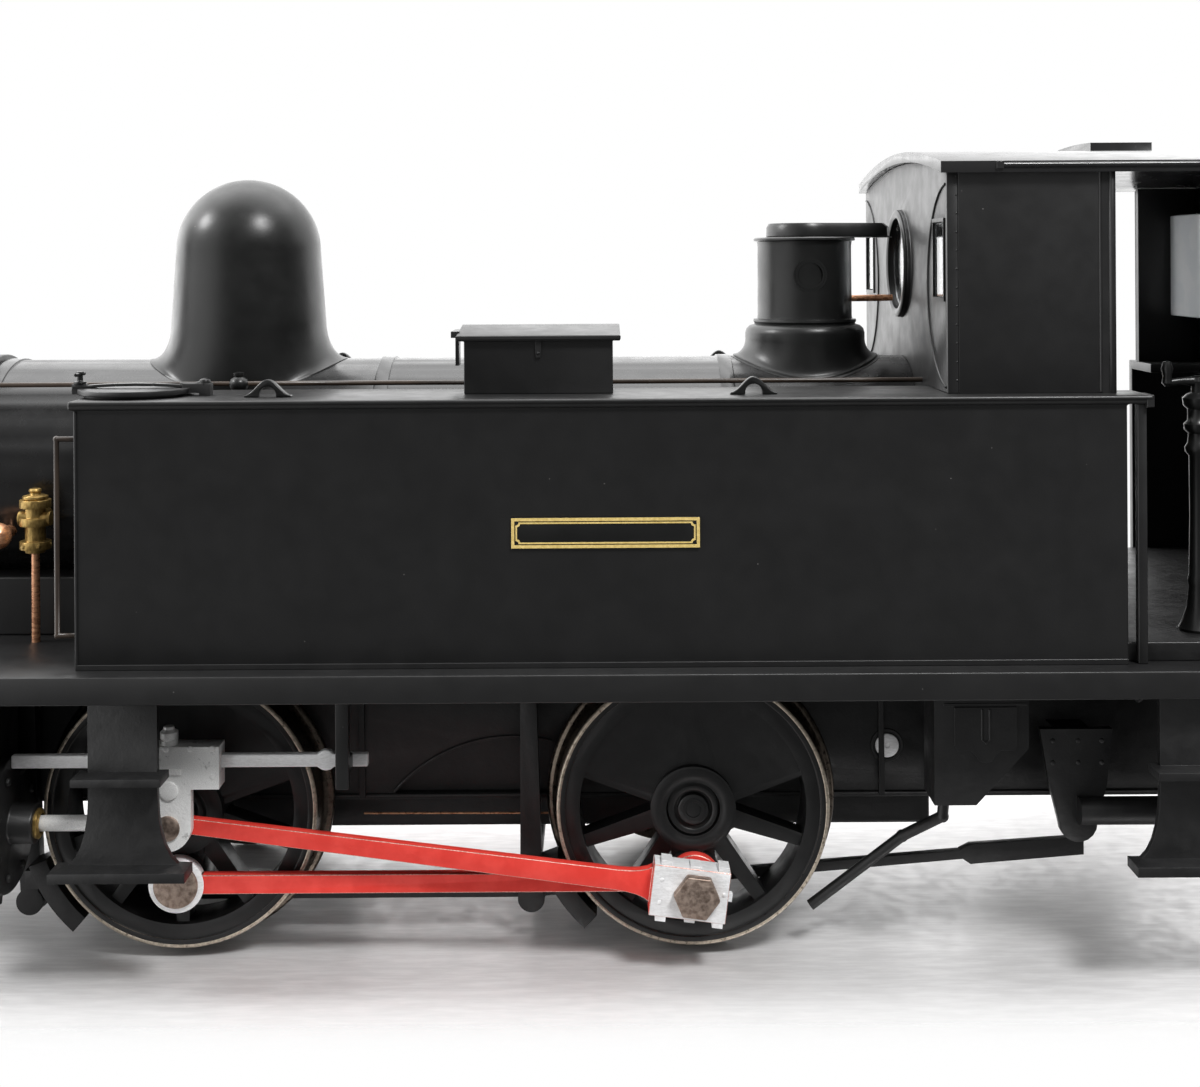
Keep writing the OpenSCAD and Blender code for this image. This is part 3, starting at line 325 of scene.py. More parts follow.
class Piece:
    """Collects geometry in millimetres, then becomes one object that rides on a body."""

    def __init__(self, name, body="root"):
        self.name = name
        self.body = body
        self.bm = bmesh.new()
        self.material_index = 0

    def faces(self, points, faces):
        made = [self.bm.verts.new(Vector(p) * MM) for p in points]
        for face in faces:
            f = self.bm.faces.new([made[i] for i in face])
            f.material_index = self.material_index
            f.smooth = True
        return made

    def rings(self, rings, closed=False, capped=True):
        """A skin over rings of points, each with as many points."""
        count = len(rings[0])
        points = [p for ring in rings for p in ring]
        faces = []
        last = len(rings) if closed else len(rings) - 1
        for i in range(last):
            a, b = i * count, ((i + 1) % len(rings)) * count
            for k in range(count):
                faces.append((a + k, a + (k + 1) % count, b + (k + 1) % count, b + k))
        if capped and not closed:
            faces.append(tuple(range(count))[::-1])
            faces.append(tuple(range(len(points) - count, len(points))))
        self.faces(points, faces)

    def box(self, x0, x1, y0, y1, z0, z1):
        """A block; its two Y values may come in either order."""
        low, high = sorted((y0, y1))
        ring = [(x0, low), (x1, low), (x1, high), (x0, high)]
        self.rings([[(x, y, z) for x, y in ring] for z in (z0, z1)])

    def plate(self, side, outline, y0, y1):
        """A flat outline in X and Z, from y0 to y1 out from the centre line."""
        self.rings([[(x, side * y, z) for x, z in outline] for y in (y0, y1)])

    def lathe(self, centre, profile, axis="Z", count=64, hollow=False):
        """Turns (radius, height) pairs about an axis through centre. A hollow one is a ring whose
        profile closes on itself; any other has its two ends filled."""
        rings = []
        for radius, height in profile:
            angles = (2 * math.pi * k / count for k in range(count))
            rings.append([turned(centre, axis, radius * math.cos(a), radius * math.sin(a), height)
                          for a in angles])
        self.rings(rings, closed=hollow)

    def tube(self, path, radius, count=16, closed=False):
        """A round bar along a path; radius is one number, or one for each point."""
        points = [Vector(p) for p in path]
        radii = radius if isinstance(radius, (list, tuple)) else [radius] * len(points)
        side = None
        rings = []
        for i, p in enumerate(points):
            before = points[i - 1] if i or closed else p
            after = points[(i + 1) % len(points)] if i + 1 < len(points) or closed else p
            along = (after - before).normalized()
            if side is None:
                side = along.orthogonal().normalized()
            side = (side - along * side.dot(along)).normalized()
            up = along.cross(side)
            ring = [p + radii[i] * (math.cos(a) * side + math.sin(a) * up)
                    for a in (2 * math.pi * k / count for k in range(count))]
            rings.append(ring)
        self.rings(rings, closed=closed)

    def rivet(self, centre, side, radius=0.16, height=0.08):
        """A domed rivet head on a face that looks outward."""
        x, y, z = centre
        profile = [(radius, 0.0), (radius * 0.92, height * 0.5), (radius * 0.6, height * 0.9),
                   (radius * 0.15, height)]
        rings = []
        for r, h in profile:
            rings.append([(x + r * math.cos(a), y + side * h, z + r * math.sin(a))
                          for a in (2 * math.pi * k / 12 for k in range(12))])
        self.rings(rings)

    def done(self, *materials, bevel=0.0, segments=2, angle=35, slot=None, replaces=(), edge=None):
        bmesh.ops.recalc_face_normals(self.bm, faces=self.bm.faces[:])
        mesh = bpy.data.meshes.new(self.name)
        self.bm.to_mesh(mesh)
        self.bm.free()
        return dressed(mesh, self.name, self.body, materials, bevel, segments, angle, slot, replaces, edge)


def turned(centre, axis, u, v, height):
    x, y, z = centre
    if axis == "X":
        return (x + height, y + u, z + v)
    if axis == "Y":
        return (x + u, y + height, z + v)
    return (x + u, y + v, z + height)


def dressed(mesh, name, body, materials, bevel, segments, angle, slot, replaces, edge):
    """Makes the object of a finished mesh: its materials, rounded edges and body."""
    piece = bpy.data.objects.new(name, mesh)
    bpy.context.scene.collection.objects.link(piece)
    for m in materials:
        mesh.materials.append(MATERIALS[m])
    if edge:
        mesh.materials.append(MATERIALS[edge])
    mesh.shade_smooth()
    if bevel:
        rounding = piece.modifiers.new("rounding", "BEVEL")
        rounding.width = bevel * MM
        rounding.segments = segments
        rounding.limit_method = "ANGLE"
        rounding.angle_limit = math.radians(angle)
        rounding.harden_normals = True
        rounding.use_clamp_overlap = True
        if edge:
            rounding.material = len(materials)
    else:
        mesh.set_sharp_from_angle(angle=math.radians(angle))
    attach(piece, body)
    slot = slot or SLOT_OF.get(materials[0], materials[0])
    if replaces:
        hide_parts(*replaces)
    return piece


# the tyre's painted highlight and painted shade copies belong with the tyre metal
SLOT_OF = {"gloss_black": "body_black", "boiler_black": "body_black", "roof_black": "body_black",
           "tread_painted_shade": "tyre_steel", "tyre_edge_painted_highlight": "tyre_steel", "rod_edge": "rod_red"}
NODE_BODY = {n: body for body, names in frame["record"]["behaviour"]["bodies"].items() for n in names}


def skin(node, material, bevel=0.1, segments=2, angle=35, slot=None, edge=None, others=(), part_of=None):
    """A copy of a CAD node with merged faces and rounded edges, which stands for the node.

    part_of(centre, normal) gives the number of each face's material among material and others."""
    bm = bmesh.new()
    bm.from_mesh(frame["nodes"][node].data)
    bmesh.ops.remove_doubles(bm, verts=bm.verts[:], dist=0.0004 * MM)
    bmesh.ops.dissolve_limit(bm, angle_limit=math.radians(0.6), verts=bm.verts[:], edges=bm.edges[:])
    bmesh.ops.recalc_face_normals(bm, faces=bm.faces[:])
    if part_of:
        for face in bm.faces:
            face.material_index = part_of(face.calc_center_median() / MM, face.normal)
    mesh = bpy.data.meshes.new(node + "_skin")
    bm.to_mesh(mesh)
    bm.free()
    return dressed(mesh, node + "_skin", NODE_BODY[node], (material, *others), bevel, segments, angle, slot,
                   (node,), edge)


# ---------- Copies of the CAD nodes ----------

SKINS = {
    "running_plate": ("body_black", 0.12), "front_beam": ("body_black", 0.15),
    "rear_beam": ("body_black", 0.15),
    "chassis": ("frame_black", 0.12), "keeper_plate": ("frame_black", 0.2),
    "boiler": ("boiler_black", 0.05), "motor": ("motor_steel", 0.2), "smokebox": ("body_black", 0.12),
    "side_tank_left": ("body_black", 0.12), "side_tank_right": ("body_black", 0.12),
    "tank_fillers": ("body_black", 0.08), "toolbox": ("body_black", 0.06),
    "lifting_eyes": ("gloss_black", 0.1),
    "name_plates": ("gloss_black", 0.03),
    "cab_front": ("body_black", 0.06), "cab_side_left": ("body_black", 0.07),
    "cab_side_right": ("body_black", 0.07),
    "cab_rear": ("body_black", 0.07), "cab_roof": ("roof_black", 0.1), "cab_floor": ("frame_black", 0.08),
    "cab_posts": ("body_black", 0.06), "backhead": ("body_black", 0.2),
    "cylinder_left": ("body_black", 0.12), "cylinder_right": ("body_black", 0.12),
    "slide_bar_left": ("slide_bar_steel", 0.1), "slide_bar_right": ("slide_bar_steel", 0.1),
    "motion_brackets": ("body_black", 0.06), "footsteps": ("frame_black", 0.06),
    "front_buffers": ("buffer_metal", 0.06), "rear_buffers": ("buffer_metal", 0.06),
    "couplings": ("frame_black", 0.06), "handrails": ("rail_black", 0.0),
    "clack_valves": ("valve_brass", 0.05),
    "feed_pipes": ("pipe_copper", 0.0), "brake_gear": ("frame_black", 0.06),
    "brake_rods": ("frame_black", 0.08),
    "sandboxes": ("frame_black", 0.15),
    "driving_wheels": ("wheel_black", 0.1), "leading_wheels": ("wheel_black", 0.1),
    "crosshead_left": ("crosshead_grey", 0.08), "crosshead_right": ("crosshead_grey", 0.08),
    "crank_screw_left": ("pin_steel", 0.12), "crank_screw_right": ("pin_steel", 0.12),
}
for node, (material, width) in SKINS.items():
    skin(node, material, width, slot="plate_brass" if node == "name_plates" else None)


def from_axle(centre, x):
    return math.hypot(centre.x - x, centre.z - AXLE_Z)


for place, x in (("driving", DRIVE_X), ("leading", LEAD_X)):
    def tyre_part(centre, normal):
        """Black painted outer face, the corner in the plain tyre metal, and the rolling face in a darker
        copy of that metal, which is painted shade.
        """
        if abs(centre.y) > 9.9 and abs(normal.y) > 0.9:
            return 0
        return 1 if abs(centre.y) > 9.8 and abs(normal.y) > 0.2 else 2

    def axle_part(centre, normal, x=x):
        """Painted axle end, brown crank pins."""
        return 1 if abs(centre.y) > 9.4 and from_axle(centre, x) < 2.0 else 0

    skin(place + "_tyres", "wheel_black", 0.03, others=("tyre_steel", "tread_painted_shade"), part_of=tyre_part,
         slot="tyre_steel")
    skin(place + "_axle", "pin_steel", 0.08, others=("wheel_black",), part_of=axle_part)

for side in SIDES:
    pins = (LEAD_X, DRIVE_X) if side == LEFT else (LEAD_X + THROW, DRIVE_X + THROW)
    pin_z = LEFT_CRANK_Z if side == LEFT else AXLE_Z

    def boss_part(centre, normal):
        """The boss at the leading pin is bare metal."""
        return 1 if math.hypot(centre.x - pins[0], centre.z - pin_z) < 1.6 else 0

    def big_end_part(centre, normal):
        """The big end block is silver, the rod red."""
        inside = abs(centre.x - pins[1] + 0.3) < 2.6 and abs(centre.z - pin_z) < 2.0
        return 1 if inside and (centre.x > pins[1] - 2.32 or abs(centre.y) > 12.1) else 0

    skin("coupling_rod_" + SIDE_NAME[side], "rod_red", 0.05, others=("slide_bar_steel",), part_of=boss_part,
         edge="rod_edge")
    skin("connecting_rod_" + SIDE_NAME[side], "rod_red", 0.05, others=("slide_bar_steel",),
         part_of=big_end_part, edge="rod_edge")

# ---------- Boiler mountings, each with a foot that follows the boiler ----------


def saddle_rings(x, boiler_r, steps, count=96):
    """Rings round an upright axis at x. Each step is (radius along X, radius along Y, flat height,
    share): share 0 gives a flat ring, share 1 a ring that lies on the boiler round."""
    rings = []
    for rx, ry, flat_z, share in steps:
        ring = []
        for k in range(count):
            a = 2 * math.pi * k / count
            px, py = rx * math.cos(a), ry * math.sin(a)
            on_round = BOILER_Z + math.sqrt(max(boiler_r**2 - py**2, 0))
            bent_z = on_round + flat_z - BOILER_Z - boiler_r
            ring.append((x + px, py, flat_z * (1 - share) + bent_z * share))
        rings.append(ring)
    return rings


def flare(top_r, foot_rx, foot_ry, top_z, foot_z, steps=12):
    """The steps of a hollow-sided foot from a round neck out to an oval foot."""
    made = []
    for i in range(steps + 1):
        u = math.pi / 2 * i / steps
        out = 1 - math.cos(u)
        made.append((top_r + (foot_rx - top_r) * out, top_r + (foot_ry - top_r) * out,
                     top_z + (foot_z - top_z) * math.sin(u), math.sin(u) ** 1.5))
    return made


BOILER_TOP = BOILER_Z + BOILER_R

dome = Piece("dome_shell")
cap_r, cap_z = 4.3, DOME_TOP - 4.3
steps = [(cap_r * math.sin(a) + 0.001, cap_r * math.sin(a) + 0.001, cap_z + cap_r * math.cos(a), 0)
         for a in (math.radians(d) for d in range(1, 90, 4))]
steps += [(4.3 + 0.3 * u, 4.3 + 0.3 * u, cap_z - 4.3 * u, 0) for u in (0, 0.25, 0.5, 0.75)]
steps += flare(4.6, 5.92, 4.62, 34.4, BOILER_TOP + 0.04)
steps += [(5.92, 4.62, BOILER_TOP - 0.5, 1)]
dome.rings(saddle_rings(DOME_X, BOILER_R, steps))
dome.done("gloss_black", angle=50, slot="body_black", replaces=("dome",))

valve = Piece("safety_valve_shell")
steps = [(0.01, 0.01, VALVE_TOP, 0), (2.95, 2.95, VALVE_TOP, 0), (3.05, 3.05, VALVE_TOP - 0.06, 0),
         (3.05, 3.05, VALVE_TOP - 0.18, 0), (2.86, 2.86, VALVE_TOP - 0.24, 0),
         (2.82, 2.82, VALVE_TOP - 0.5, 0),
         (2.84, 2.84, 34.6, 0), (2.86, 2.86, 34.42, 0), (3.08, 3.08, 34.38, 0), (3.1, 3.1, 34.25, 0),
         (3.02, 3.02, 34.12, 0), (3.1, 3.1, 34.06, 0), (3.32, 3.3, 34.0, 0), (3.52, 3.48, 33.82, 0),
         (3.6, 3.52, 33.55, 0), (3.6, 3.5, 33.2, 0.1)]
steps += [(3.6 + 0.7 * (1 - math.cos(u)), 3.5 + 0.25 * (1 - math.cos(u)),
           33.2 - (33.2 - BOILER_TOP - 0.14) * math.sin(u), 0.1 + 0.9 * math.sin(u))
          for u in (math.pi / 2 * i / 10 for i in range(1, 11))]
steps += [(4.34, 3.8, BOILER_TOP + 0.12, 1), (4.36, 3.82, BOILER_TOP + 0.03, 1),
          (4.5, 3.95, BOILER_TOP + 0.02, 1),
          (4.5, 3.95, BOILER_TOP - 0.3, 1)]
valve.rings(saddle_rings(VALVE_X, BOILER_R, steps))
valve.done("gloss_black", angle=40, slot="body_black", replaces=("safety_valve",))

# cap with its tail drawn back, lever pipe and the round plate on each side
cap = Piece("safety_valve_cap")
outline = [(2.3 * math.cos(a), 2.1 * math.sin(a)) for a in (math.radians(d) for d in range(60, 301, 15))]
outline += [(4.3, -0.95), (4.95, -0.7), (5.2, 0.0), (4.95, 0.7), (4.3, 0.95)]
for low, high, grow in ((VALVE_TOP - 0.02, VALVE_TOP + 0.06, 1.03),
        (VALVE_TOP + 0.06, VALVE_TOP + 0.86, 1.0)):
    cap.rings([[(VALVE_X + x * g, y * g, z) for x, y in outline]
               for z, g in ((low, grow), (high - 0.3 * (high - low), grow * 0.99), (high, grow * 0.93))])
cap.done("gloss_black", bevel=0.12, segments=3, slot="body_black")

for side in SIDES:
    disc = Piece("safety_valve_plate_" + SIDE_NAME[side])
    for radius, depth in ((1.0, 0.03), (0.86, 0.05)):
        disc.lathe((VALVE_X, side * 2.8, 37.05), [(radius - 0.12, 0), (radius, 0), (radius, side * depth),
                                                  (radius - 0.12, side * depth)], "Y", 48, hollow=True)
    disc.done("gloss_black", angle=30, slot="body_black")

stub = Piece("safety_valve_pipe")
stub.tube([(VALVE_X + 2.7, 0, 35.6), (VALVE_X + 4.6, 0, 35.62), (VALVE_X + 5.35, 0, 35.63)],
          [0.19, 0.2, 0.19])
stub.done("pipe_copper", bevel=0.03)

chimney = Piece("chimney_shell")
base = BOILER_Z + SMOKEBOX_R
steps = [(1.6, 1.6, CHIMNEY_TOP - 8, 0), (1.65, 1.65, CHIMNEY_TOP - 0.3, 0), (1.95, 1.95, CHIMNEY_TOP, 0),
         (2.5, 2.5, CHIMNEY_TOP, 0), (2.8, 2.8, CHIMNEY_TOP - 0.25, 0), (2.98, 2.98, CHIMNEY_TOP - 0.8, 0),
         (2.9, 2.9, CHIMNEY_TOP - 1.35, 0), (2.6, 2.6, CHIMNEY_TOP - 1.6, 0),
         (2.58, 2.58, CHIMNEY_TOP - 1.9, 0),
         (2.45, 2.45, CHIMNEY_TOP - 2.0, 0), (2.42, 2.42, CHIMNEY_TOP - 3, 0), (2.5, 2.5, base + 2.6, 0)]
steps += flare(2.52, 3.6, 3.5, base + 2.3, base + 0.04)
steps += [(3.65, 3.55, base - 0.4, 1)]
chimney.rings(saddle_rings(CHIMNEY_X, SMOKEBOX_R, steps))
chimney.done("body_black", angle=50, replaces=("chimney",))

# block that carries the boiler between the smokebox and the tanks
cradle = Piece("boiler_cradle")
cradle.box(SMOKEBOX_X1 - 0.2, TANK_X0 + 0.3, -6.4, 6.4, PLATE_TOP, BOILER_Z - 5.3)
cradle.done("body_black", bevel=0.12)

# ---------- Smokebox door ----------

door = Piece("smokebox_door_shell")
profile = [(5.28, 0.0), (5.3, 0.12), (5.22, 0.3), (4.95, 0.34), (4.9, 0.28), (4.78, 0.3), (4.7, 0.5),
           (4.2, 0.7),
           (3.4, 0.92), (2.4, 1.1), (1.2, 1.22), (0.02, 1.26)]
door.lathe((SMOKEBOX_X0, 0, BOILER_Z), [(radius, -height) for radius, height in profile], "X", 96)
door.done("body_black", angle=40, replaces=("smokebox_door",))

fittings = Piece("smokebox_door_fittings")
for z in (BOILER_Z + 2.1, BOILER_Z - 2.1):
    strap = [(y, -1.02 - 0.3 * (1 - (y / 5.0) ** 2)) for y in (-1.0, 0.0, 1.0, 2.0, 3.0, 4.0, 4.9)]
    fittings.rings([[(SMOKEBOX_X0 + x * 0.78 - dx, -y, z + dz) for dx,
                     dz in ((0, -0.3), (0, 0.3), (0.16, 0.26), (0.16, -0.26))]
                    for y, x in strap])
    fittings.tube([(SMOKEBOX_X0 - 0.55, -5.0, z - 0.5), (SMOKEBOX_X0 - 0.55, -5.0, z + 0.5)], 0.24)
for turn, reach in ((50, 1.7), (115, 1.3)):
    a = math.radians(turn)
    fittings.tube([(SMOKEBOX_X0 - 1.36, 0, BOILER_Z),
                   (SMOKEBOX_X0 - 1.38, -reach * math.cos(a), BOILER_Z - reach * math.sin(a))], [0.17, 0.1])
fittings.lathe((SMOKEBOX_X0 - 1.15, 0, BOILER_Z), [(0.5, 0.0), (0.48, -0.16), (0.28, -0.24)], "X", 24)
fittings.done("rail_black", bevel=0.03)

# ---------- Tanks, toolbox and name plates ----------

for side in SIDES:
    name = SIDE_NAME[side]
    trim = Piece("tank_trim_" + name)
    # foot angle along the running plate, and the lip's rounded edge
    trim.plate(side, [(TANK_X0 + 0.05, PLATE_TOP), (TANK_X1 - 0.05, PLATE_TOP),
                      (TANK_X1 - 0.05, PLATE_TOP + 0.3),
                      (TANK_X0 + 0.05, PLATE_TOP + 0.3)], TANK_Y - 0.02, TANK_Y + 0.1)
    trim.tube([(TANK_X0 + 0.1, side * (TANK_Y + 0.02), PLATE_TOP + 0.1),
               (TANK_X0 + 0.1, side * (TANK_Y + 0.02), TANK_TOP - 0.55)], 0.08)
    trim.tube([(TANK_X0 - 0.15, side * (TANK_Y + 0.22), TANK_TOP - 0.12),
               (TANK_X1 + 1.2, side * (TANK_Y + 0.22), TANK_TOP - 0.12)], 0.12)
    # block at the rear end of the lip
    trim.box(TANK_X1 + 0.9, TANK_X1 + 1.3, side * (TANK_Y - 1.2), side * (TANK_Y + 0.3),
             TANK_TOP - 0.62, TANK_TOP + 0.02)
    trim.done("body_black", bevel=0.04)

    # lid strap with its clamp at the front and a ball at the hinge
    x, y = FILLER_X, side * FILLER_Y
    strap = Piece("filler_strap_" + name)
    for u0, u1 in ((-2.6, -1.0), (-1.0, 1.0), (1.0, 2.6)):
        strap.rings([[(x + u, y + dy, LID_TOP + 0.01 + 0.1 * (1 - (u / 2.6) ** 2) + dz)
                      for dy, dz in ((-0.3, 0), (0.3, 0), (0.26, 0.16), (-0.26, 0.16))]
                      for u in (u0, (u0 + u1) / 2, u1)])
    strap.tube([(x + 2.4, y, LID_TOP + 0.1), (x + 3.2, y, LID_TOP + 0.07), (x + 3.75, y, LID_TOP + 0.2)],
               [0.2, 0.2, 0.26])
    strap.lathe((x + 3.75, y, LID_TOP + 0.17),
                [(0.1, -0.34), (0.28, -0.26), (0.36, 0.0), (0.28, 0.26), (0.1, 0.34)],
                "Z", 24)
    strap.box(x - 3.35, x - 2.2, y - 0.32, y + 0.32, LID_TOP - 0.03, LID_TOP + 0.15)
    strap.lathe((x - 3.0, y, LID_TOP - 0.1),
                [(0.32, 0.3), (0.34, 0.45), (0.16, 0.5), (0.15, 0.8), (0.22, 0.85), (0.2, 1.0)],
                "Z", 24)
    strap.tube([(x - 3.0, y - 0.75, LID_TOP + 0.75), (x - 3.0, y + 0.75, LID_TOP + 0.75)], 0.1)
    strap.done("gloss_black", bevel=0.04, slot="body_black")

    # blank name plate: a gold border with hollow corners on a black field
    px, pz, half_x, half_z = 2.8, 23.9, 4.9, 0.8
    face_y = TANK_Y + 0.12

    def border(inset, bite, steps=6):
        """A rectangle inside the plate's edge, with each corner bitten by a quarter round."""
        w, h = half_x - inset, half_z - inset
        points = []
        for sx, sz, start in ((1, 1, 270), (-1, 1, 0), (-1, -1, 90), (1, -1, 180)):
            arc = [math.radians(start - 90 * i / steps) for i in range(steps + 1)]
            points += [(px + sx * w + bite * math.cos(a), pz + sz * h + bite * math.sin(a)) for a in arc]
        return points

    frame_piece = Piece("name_plate_border_" + name)
    for inset, width, bite in ((0.02, 0.16, 0.0), (0.24, 0.08, 0.16)):
        outer, inner = border(inset, max(bite, 0.001)), border(inset + width, max(bite, 0.001))
        frame_piece.rings([[(x, side * y, z) for x, z in ring]
                           for ring, y in ((outer, face_y), (outer, face_y + 0.03), (inner, face_y + 0.03),
                                           (inner, face_y))],
                          closed=True)
    frame_piece.done("plate_brass", angle=40)

lid = Piece("toolbox_fittings")
box_y, box_z = 11.5, TANK_TOP
lid.plate(LEFT, [(TOOLBOX_X - 0.16, box_z + 2.3), (TOOLBOX_X - 0.12, box_z + 1.95),
                 (TOOLBOX_X + 0.12, box_z + 1.95), (TOOLBOX_X + 0.16, box_z + 2.3),
                 (TOOLBOX_X + 0.16, box_z + 2.85), (TOOLBOX_X - 0.16, box_z + 2.85)], box_y - 0.02,
                 box_y + 0.14)
lid.rivet((TOOLBOX_X, -box_y - 0.14, box_z + 2.2), LEFT, 0.09, 0.06)
# the lid's folded front edge, its ends, and the hinge strip behind
lid.box(TOOLBOX_X - 4.42, TOOLBOX_X + 4.42, -box_y - 0.4, -box_y - 0.3, box_z + 2.95, box_z + 3.12)
lid.box(TOOLBOX_X - 4.75, TOOLBOX_X - 4.3, -box_y + 0.6, -box_y + 3.6, box_z + 3.0, box_z + 3.35)
lid.box(TOOLBOX_X - 4.65, TOOLBOX_X - 4.45, -box_y + 2.2, -box_y + 3.3, box_z + 1.4, box_z + 3.1)
lid.done("body_black", bevel=0.04)

# ---------- Handrail knobs and valves ----------

knobs = Piece("handrail_knobs")
for side in SIDES:
    for x in (SMOKEBOX_X0 + 1.6, DOME_X + 0.7, TOOLBOX_X):
        y = side * 6.15
        knobs.lathe((x, y, 0), [(0.32, 29.9), (0.44, 30.1), (0.5, 30.35), (0.4, 30.6), (0.34, 30.7),
                (0.5, 30.85),
                                (0.56, 31.1), (0.48, 31.35), (0.26, 31.5), (0.3, 31.55), (0.3, 31.72),
                                (0.12, 31.76)], "Z", 24)
knobs.done("gloss_black", angle=40, slot="rail_black")

for side in SIDES:
    name = SIDE_NAME[side]
    x, y = CLACK_X, side * CLACK_Y
    clack = Piece("clack_details_" + name)
    clack.lathe((x, y, 21.9), [(0.86, 0.28), (0.92, 0.34), (0.92, 0.5), (0.86, 0.56)], "Z", 6)
    clack.lathe((x, y, 21.9), [(0.6, 2.9), (0.7, 3.0), (0.7, 3.16), (0.3, 3.22), (0.28, 3.35), (0.36, 3.42),
            (0.3, 3.56)],
                "Z", 24)
    clack.tube([(x - 0.9, y, 23.8), (x + 0.9, y, 23.8)], 0.42)
    clack.done("valve_brass", bevel=0.05)
    # union ball ahead of the valve, and its pipe in to the boiler
    pipe = Piece("feed_elbow_" + name)
    ball = [(0.75 * math.sin(a) + 0.001, 0.75 * math.cos(a))
            for a in (math.radians(d) for d in range(0, 181, 12))]
    pipe.lathe((-31.1, side * 8.0, 22.8), ball, "Y", 32)
    pipe.tube([(-31.1, side * 7.6, 22.8), (-31.1, side * 6.7, 22.8), (-31.1, side * 5.9, 22.8)], 0.36, 20)
    pipe.done("pipe_copper", angle=50)

# ---------- Cab ----------

seams = Piece("cab_front_seams")
seams.lathe((CAB_X0 - 0.25, 0, WINDOW_Z),
            [(2.72, 0.1), (2.74, -0.08), (2.86, -0.17), (3.08, -0.17), (3.22, -0.08), (3.24, 0.1)],
            "X", 96, hollow=True)
for side in SIDES:
    arc = [math.radians(d) for d in range(-82, 83, 4)]
    seams.tube([(CAB_X0 - 0.02, side * (13.48 - 5.44 * math.cos(a)), 36.55 + 5.44 * math.sin(a))
                for a in arc
                if 13.48 - 5.44 * math.cos(a) < 12.95], 0.07, 8)
    y0, y1, z0, z1 = 9.8, 12.4, TANK_TOP + 5.05, TANK_TOP + 9.1
    ring = [(y0, z0), (y1, z0), (y1, z1), (y0, z1)]
    wide = [(y0 - 0.2, z0 - 0.2), (y1 + 0.15, z0 - 0.2), (y1 + 0.15, z1 + 0.2), (y0 - 0.2, z1 + 0.2)]
    seams.rings([[(x, side * y, z) for y, z in points] for points, x in
                 ((wide, CAB_X0 + 0.02), (wide, CAB_X0 - 0.1), (ring, CAB_X0 - 0.1),
                  (ring, CAB_X0 + 0.02))], closed=True)
seams.done("gloss_black", angle=40, slot="body_black")

for side in SIDES:
    name = SIDE_NAME[side]
    strip = Piece("cab_beading_" + name)
    y = side * CAB_Y
    strip.plate(side, [(29.05, TANK_TOP), (29.5, TANK_TOP), (29.5, CAB_EAVES + 0.05),
                       (29.05, CAB_EAVES + 0.05)],
                CAB_Y - 0.02, CAB_Y + 0.06)
    strip.tube([(29.0, y, TANK_TOP + 0.05), (29.0, y, CAB_EAVES)], 0.09)
    strip.tube([(DOOR_X1 + 0.1, y, TANK_TOP + 0.05), (DOOR_X1 + 0.1, y, CAB_EAVES)], 0.12)
    # rivets up the edge of the side sheet
    for k in range(12):
        strip.rivet((21.4, y, TANK_TOP + 0.7 + k * 0.98), side, 0.06, 0.035)
    strip.done("body_black", bevel=0.03)

    gutter = Piece("roof_gutter_" + name)
    gy = side * (ROOF_Y - 0.02)
    gutter.tube([(23.75, gy, GUTTER_Z), (CAB_X1 + 0.35, gy, GUTTER_Z)], 0.15)
    gutter.box(23.4, 23.8, gy - side * 0.1, gy + side * 0.16, GUTTER_Z - 0.2, GUTTER_Z + 0.22)
    gutter.done("roof_black", bevel=0.03, slot="body_black")

glass = Piece("cab_panes")
front_x = CAB_X0 + 0.02
glass.lathe((front_x, 0, WINDOW_Z), [(WINDOW_R - 0.02, 0), (WINDOW_R - 0.02, 0.3)], "X", 96)
for side in SIDES:
    glass.box(front_x, front_x + 0.3, side * 9.82, side * 12.38, TANK_TOP + 5.07, TANK_TOP + 9.08)
glass.done("window_clear", bevel=0.04, replaces=("cab_glazing",))
blocks = Piece("rear_glazing_blocks")
for side in SIDES:
    blocks.box(CAB_X1 - 2.5, CAB_X1 - 0.65, side * 2.6, side * 12.2, TANK_TOP + 3.15, TANK_TOP + 9.95)
blocks.done("moulded_clear", bevel=0.12, segments=3, slot="window_clear")

# ---------- Cab inside ----------

inside = Piece("backhead_plates")
back_x = CAB_X0 + SHEET + 3.4
inside.lathe((back_x, 0, PLATE_TOP + 5),
             [(1.9, -0.02), (1.95, 0.1), (1.75, 0.22), (1.7, 0.1), (1.5, 0.06), (1.45, 0.26), (0.6, 0.34),
              (0.02, 0.36)],
             "X", 48)
for k in range(20):
    a = 2 * math.pi * k / 20
    if math.sin(a) > -0.3:
        inside.lathe((back_x, 5.4 * math.cos(a), BOILER_Z + 5.4 * math.sin(a)),
                     [(0.16, -0.02), (0.15, 0.08), (0.05, 0.12)], "X", 10)
inside.box(back_x - 0.02, back_x + 1.6, -4.2, 4.2, BOILER_Z + 0.6, BOILER_Z + 0.9)
inside.done("frame_black", bevel=0.04)

brass = Piece("backhead_brass")
for y in (-2.6, 2.6):
    brass.tube([(back_x + 0.55, y, BOILER_Z + 0.4), (back_x + 0.55, y, BOILER_Z + 3.6)], 0.2)
    for z in (BOILER_Z + 0.6, BOILER_Z + 3.4):
        brass.tube([(back_x - 0.1, y, z), (back_x + 0.8, y, z)], 0.3)
        brass.tube([(back_x + 0.55, y - 0.55, z), (back_x + 0.55, y + 0.55, z)], 0.14)
brass.lathe((back_x + 0.2, -0.9, BOILER_Z + 4.6),
            [(0.75, -0.2), (0.8, 0.0), (0.72, 0.14), (0.6, 0.1), (0.05, 0.1)], "X", 32)
brass.lathe((back_x + 0.2, 1.2, BOILER_Z + 4.6),
            [(0.6, -0.2), (0.65, 0.0), (0.58, 0.14), (0.5, 0.1), (0.05, 0.1)], "X", 32)
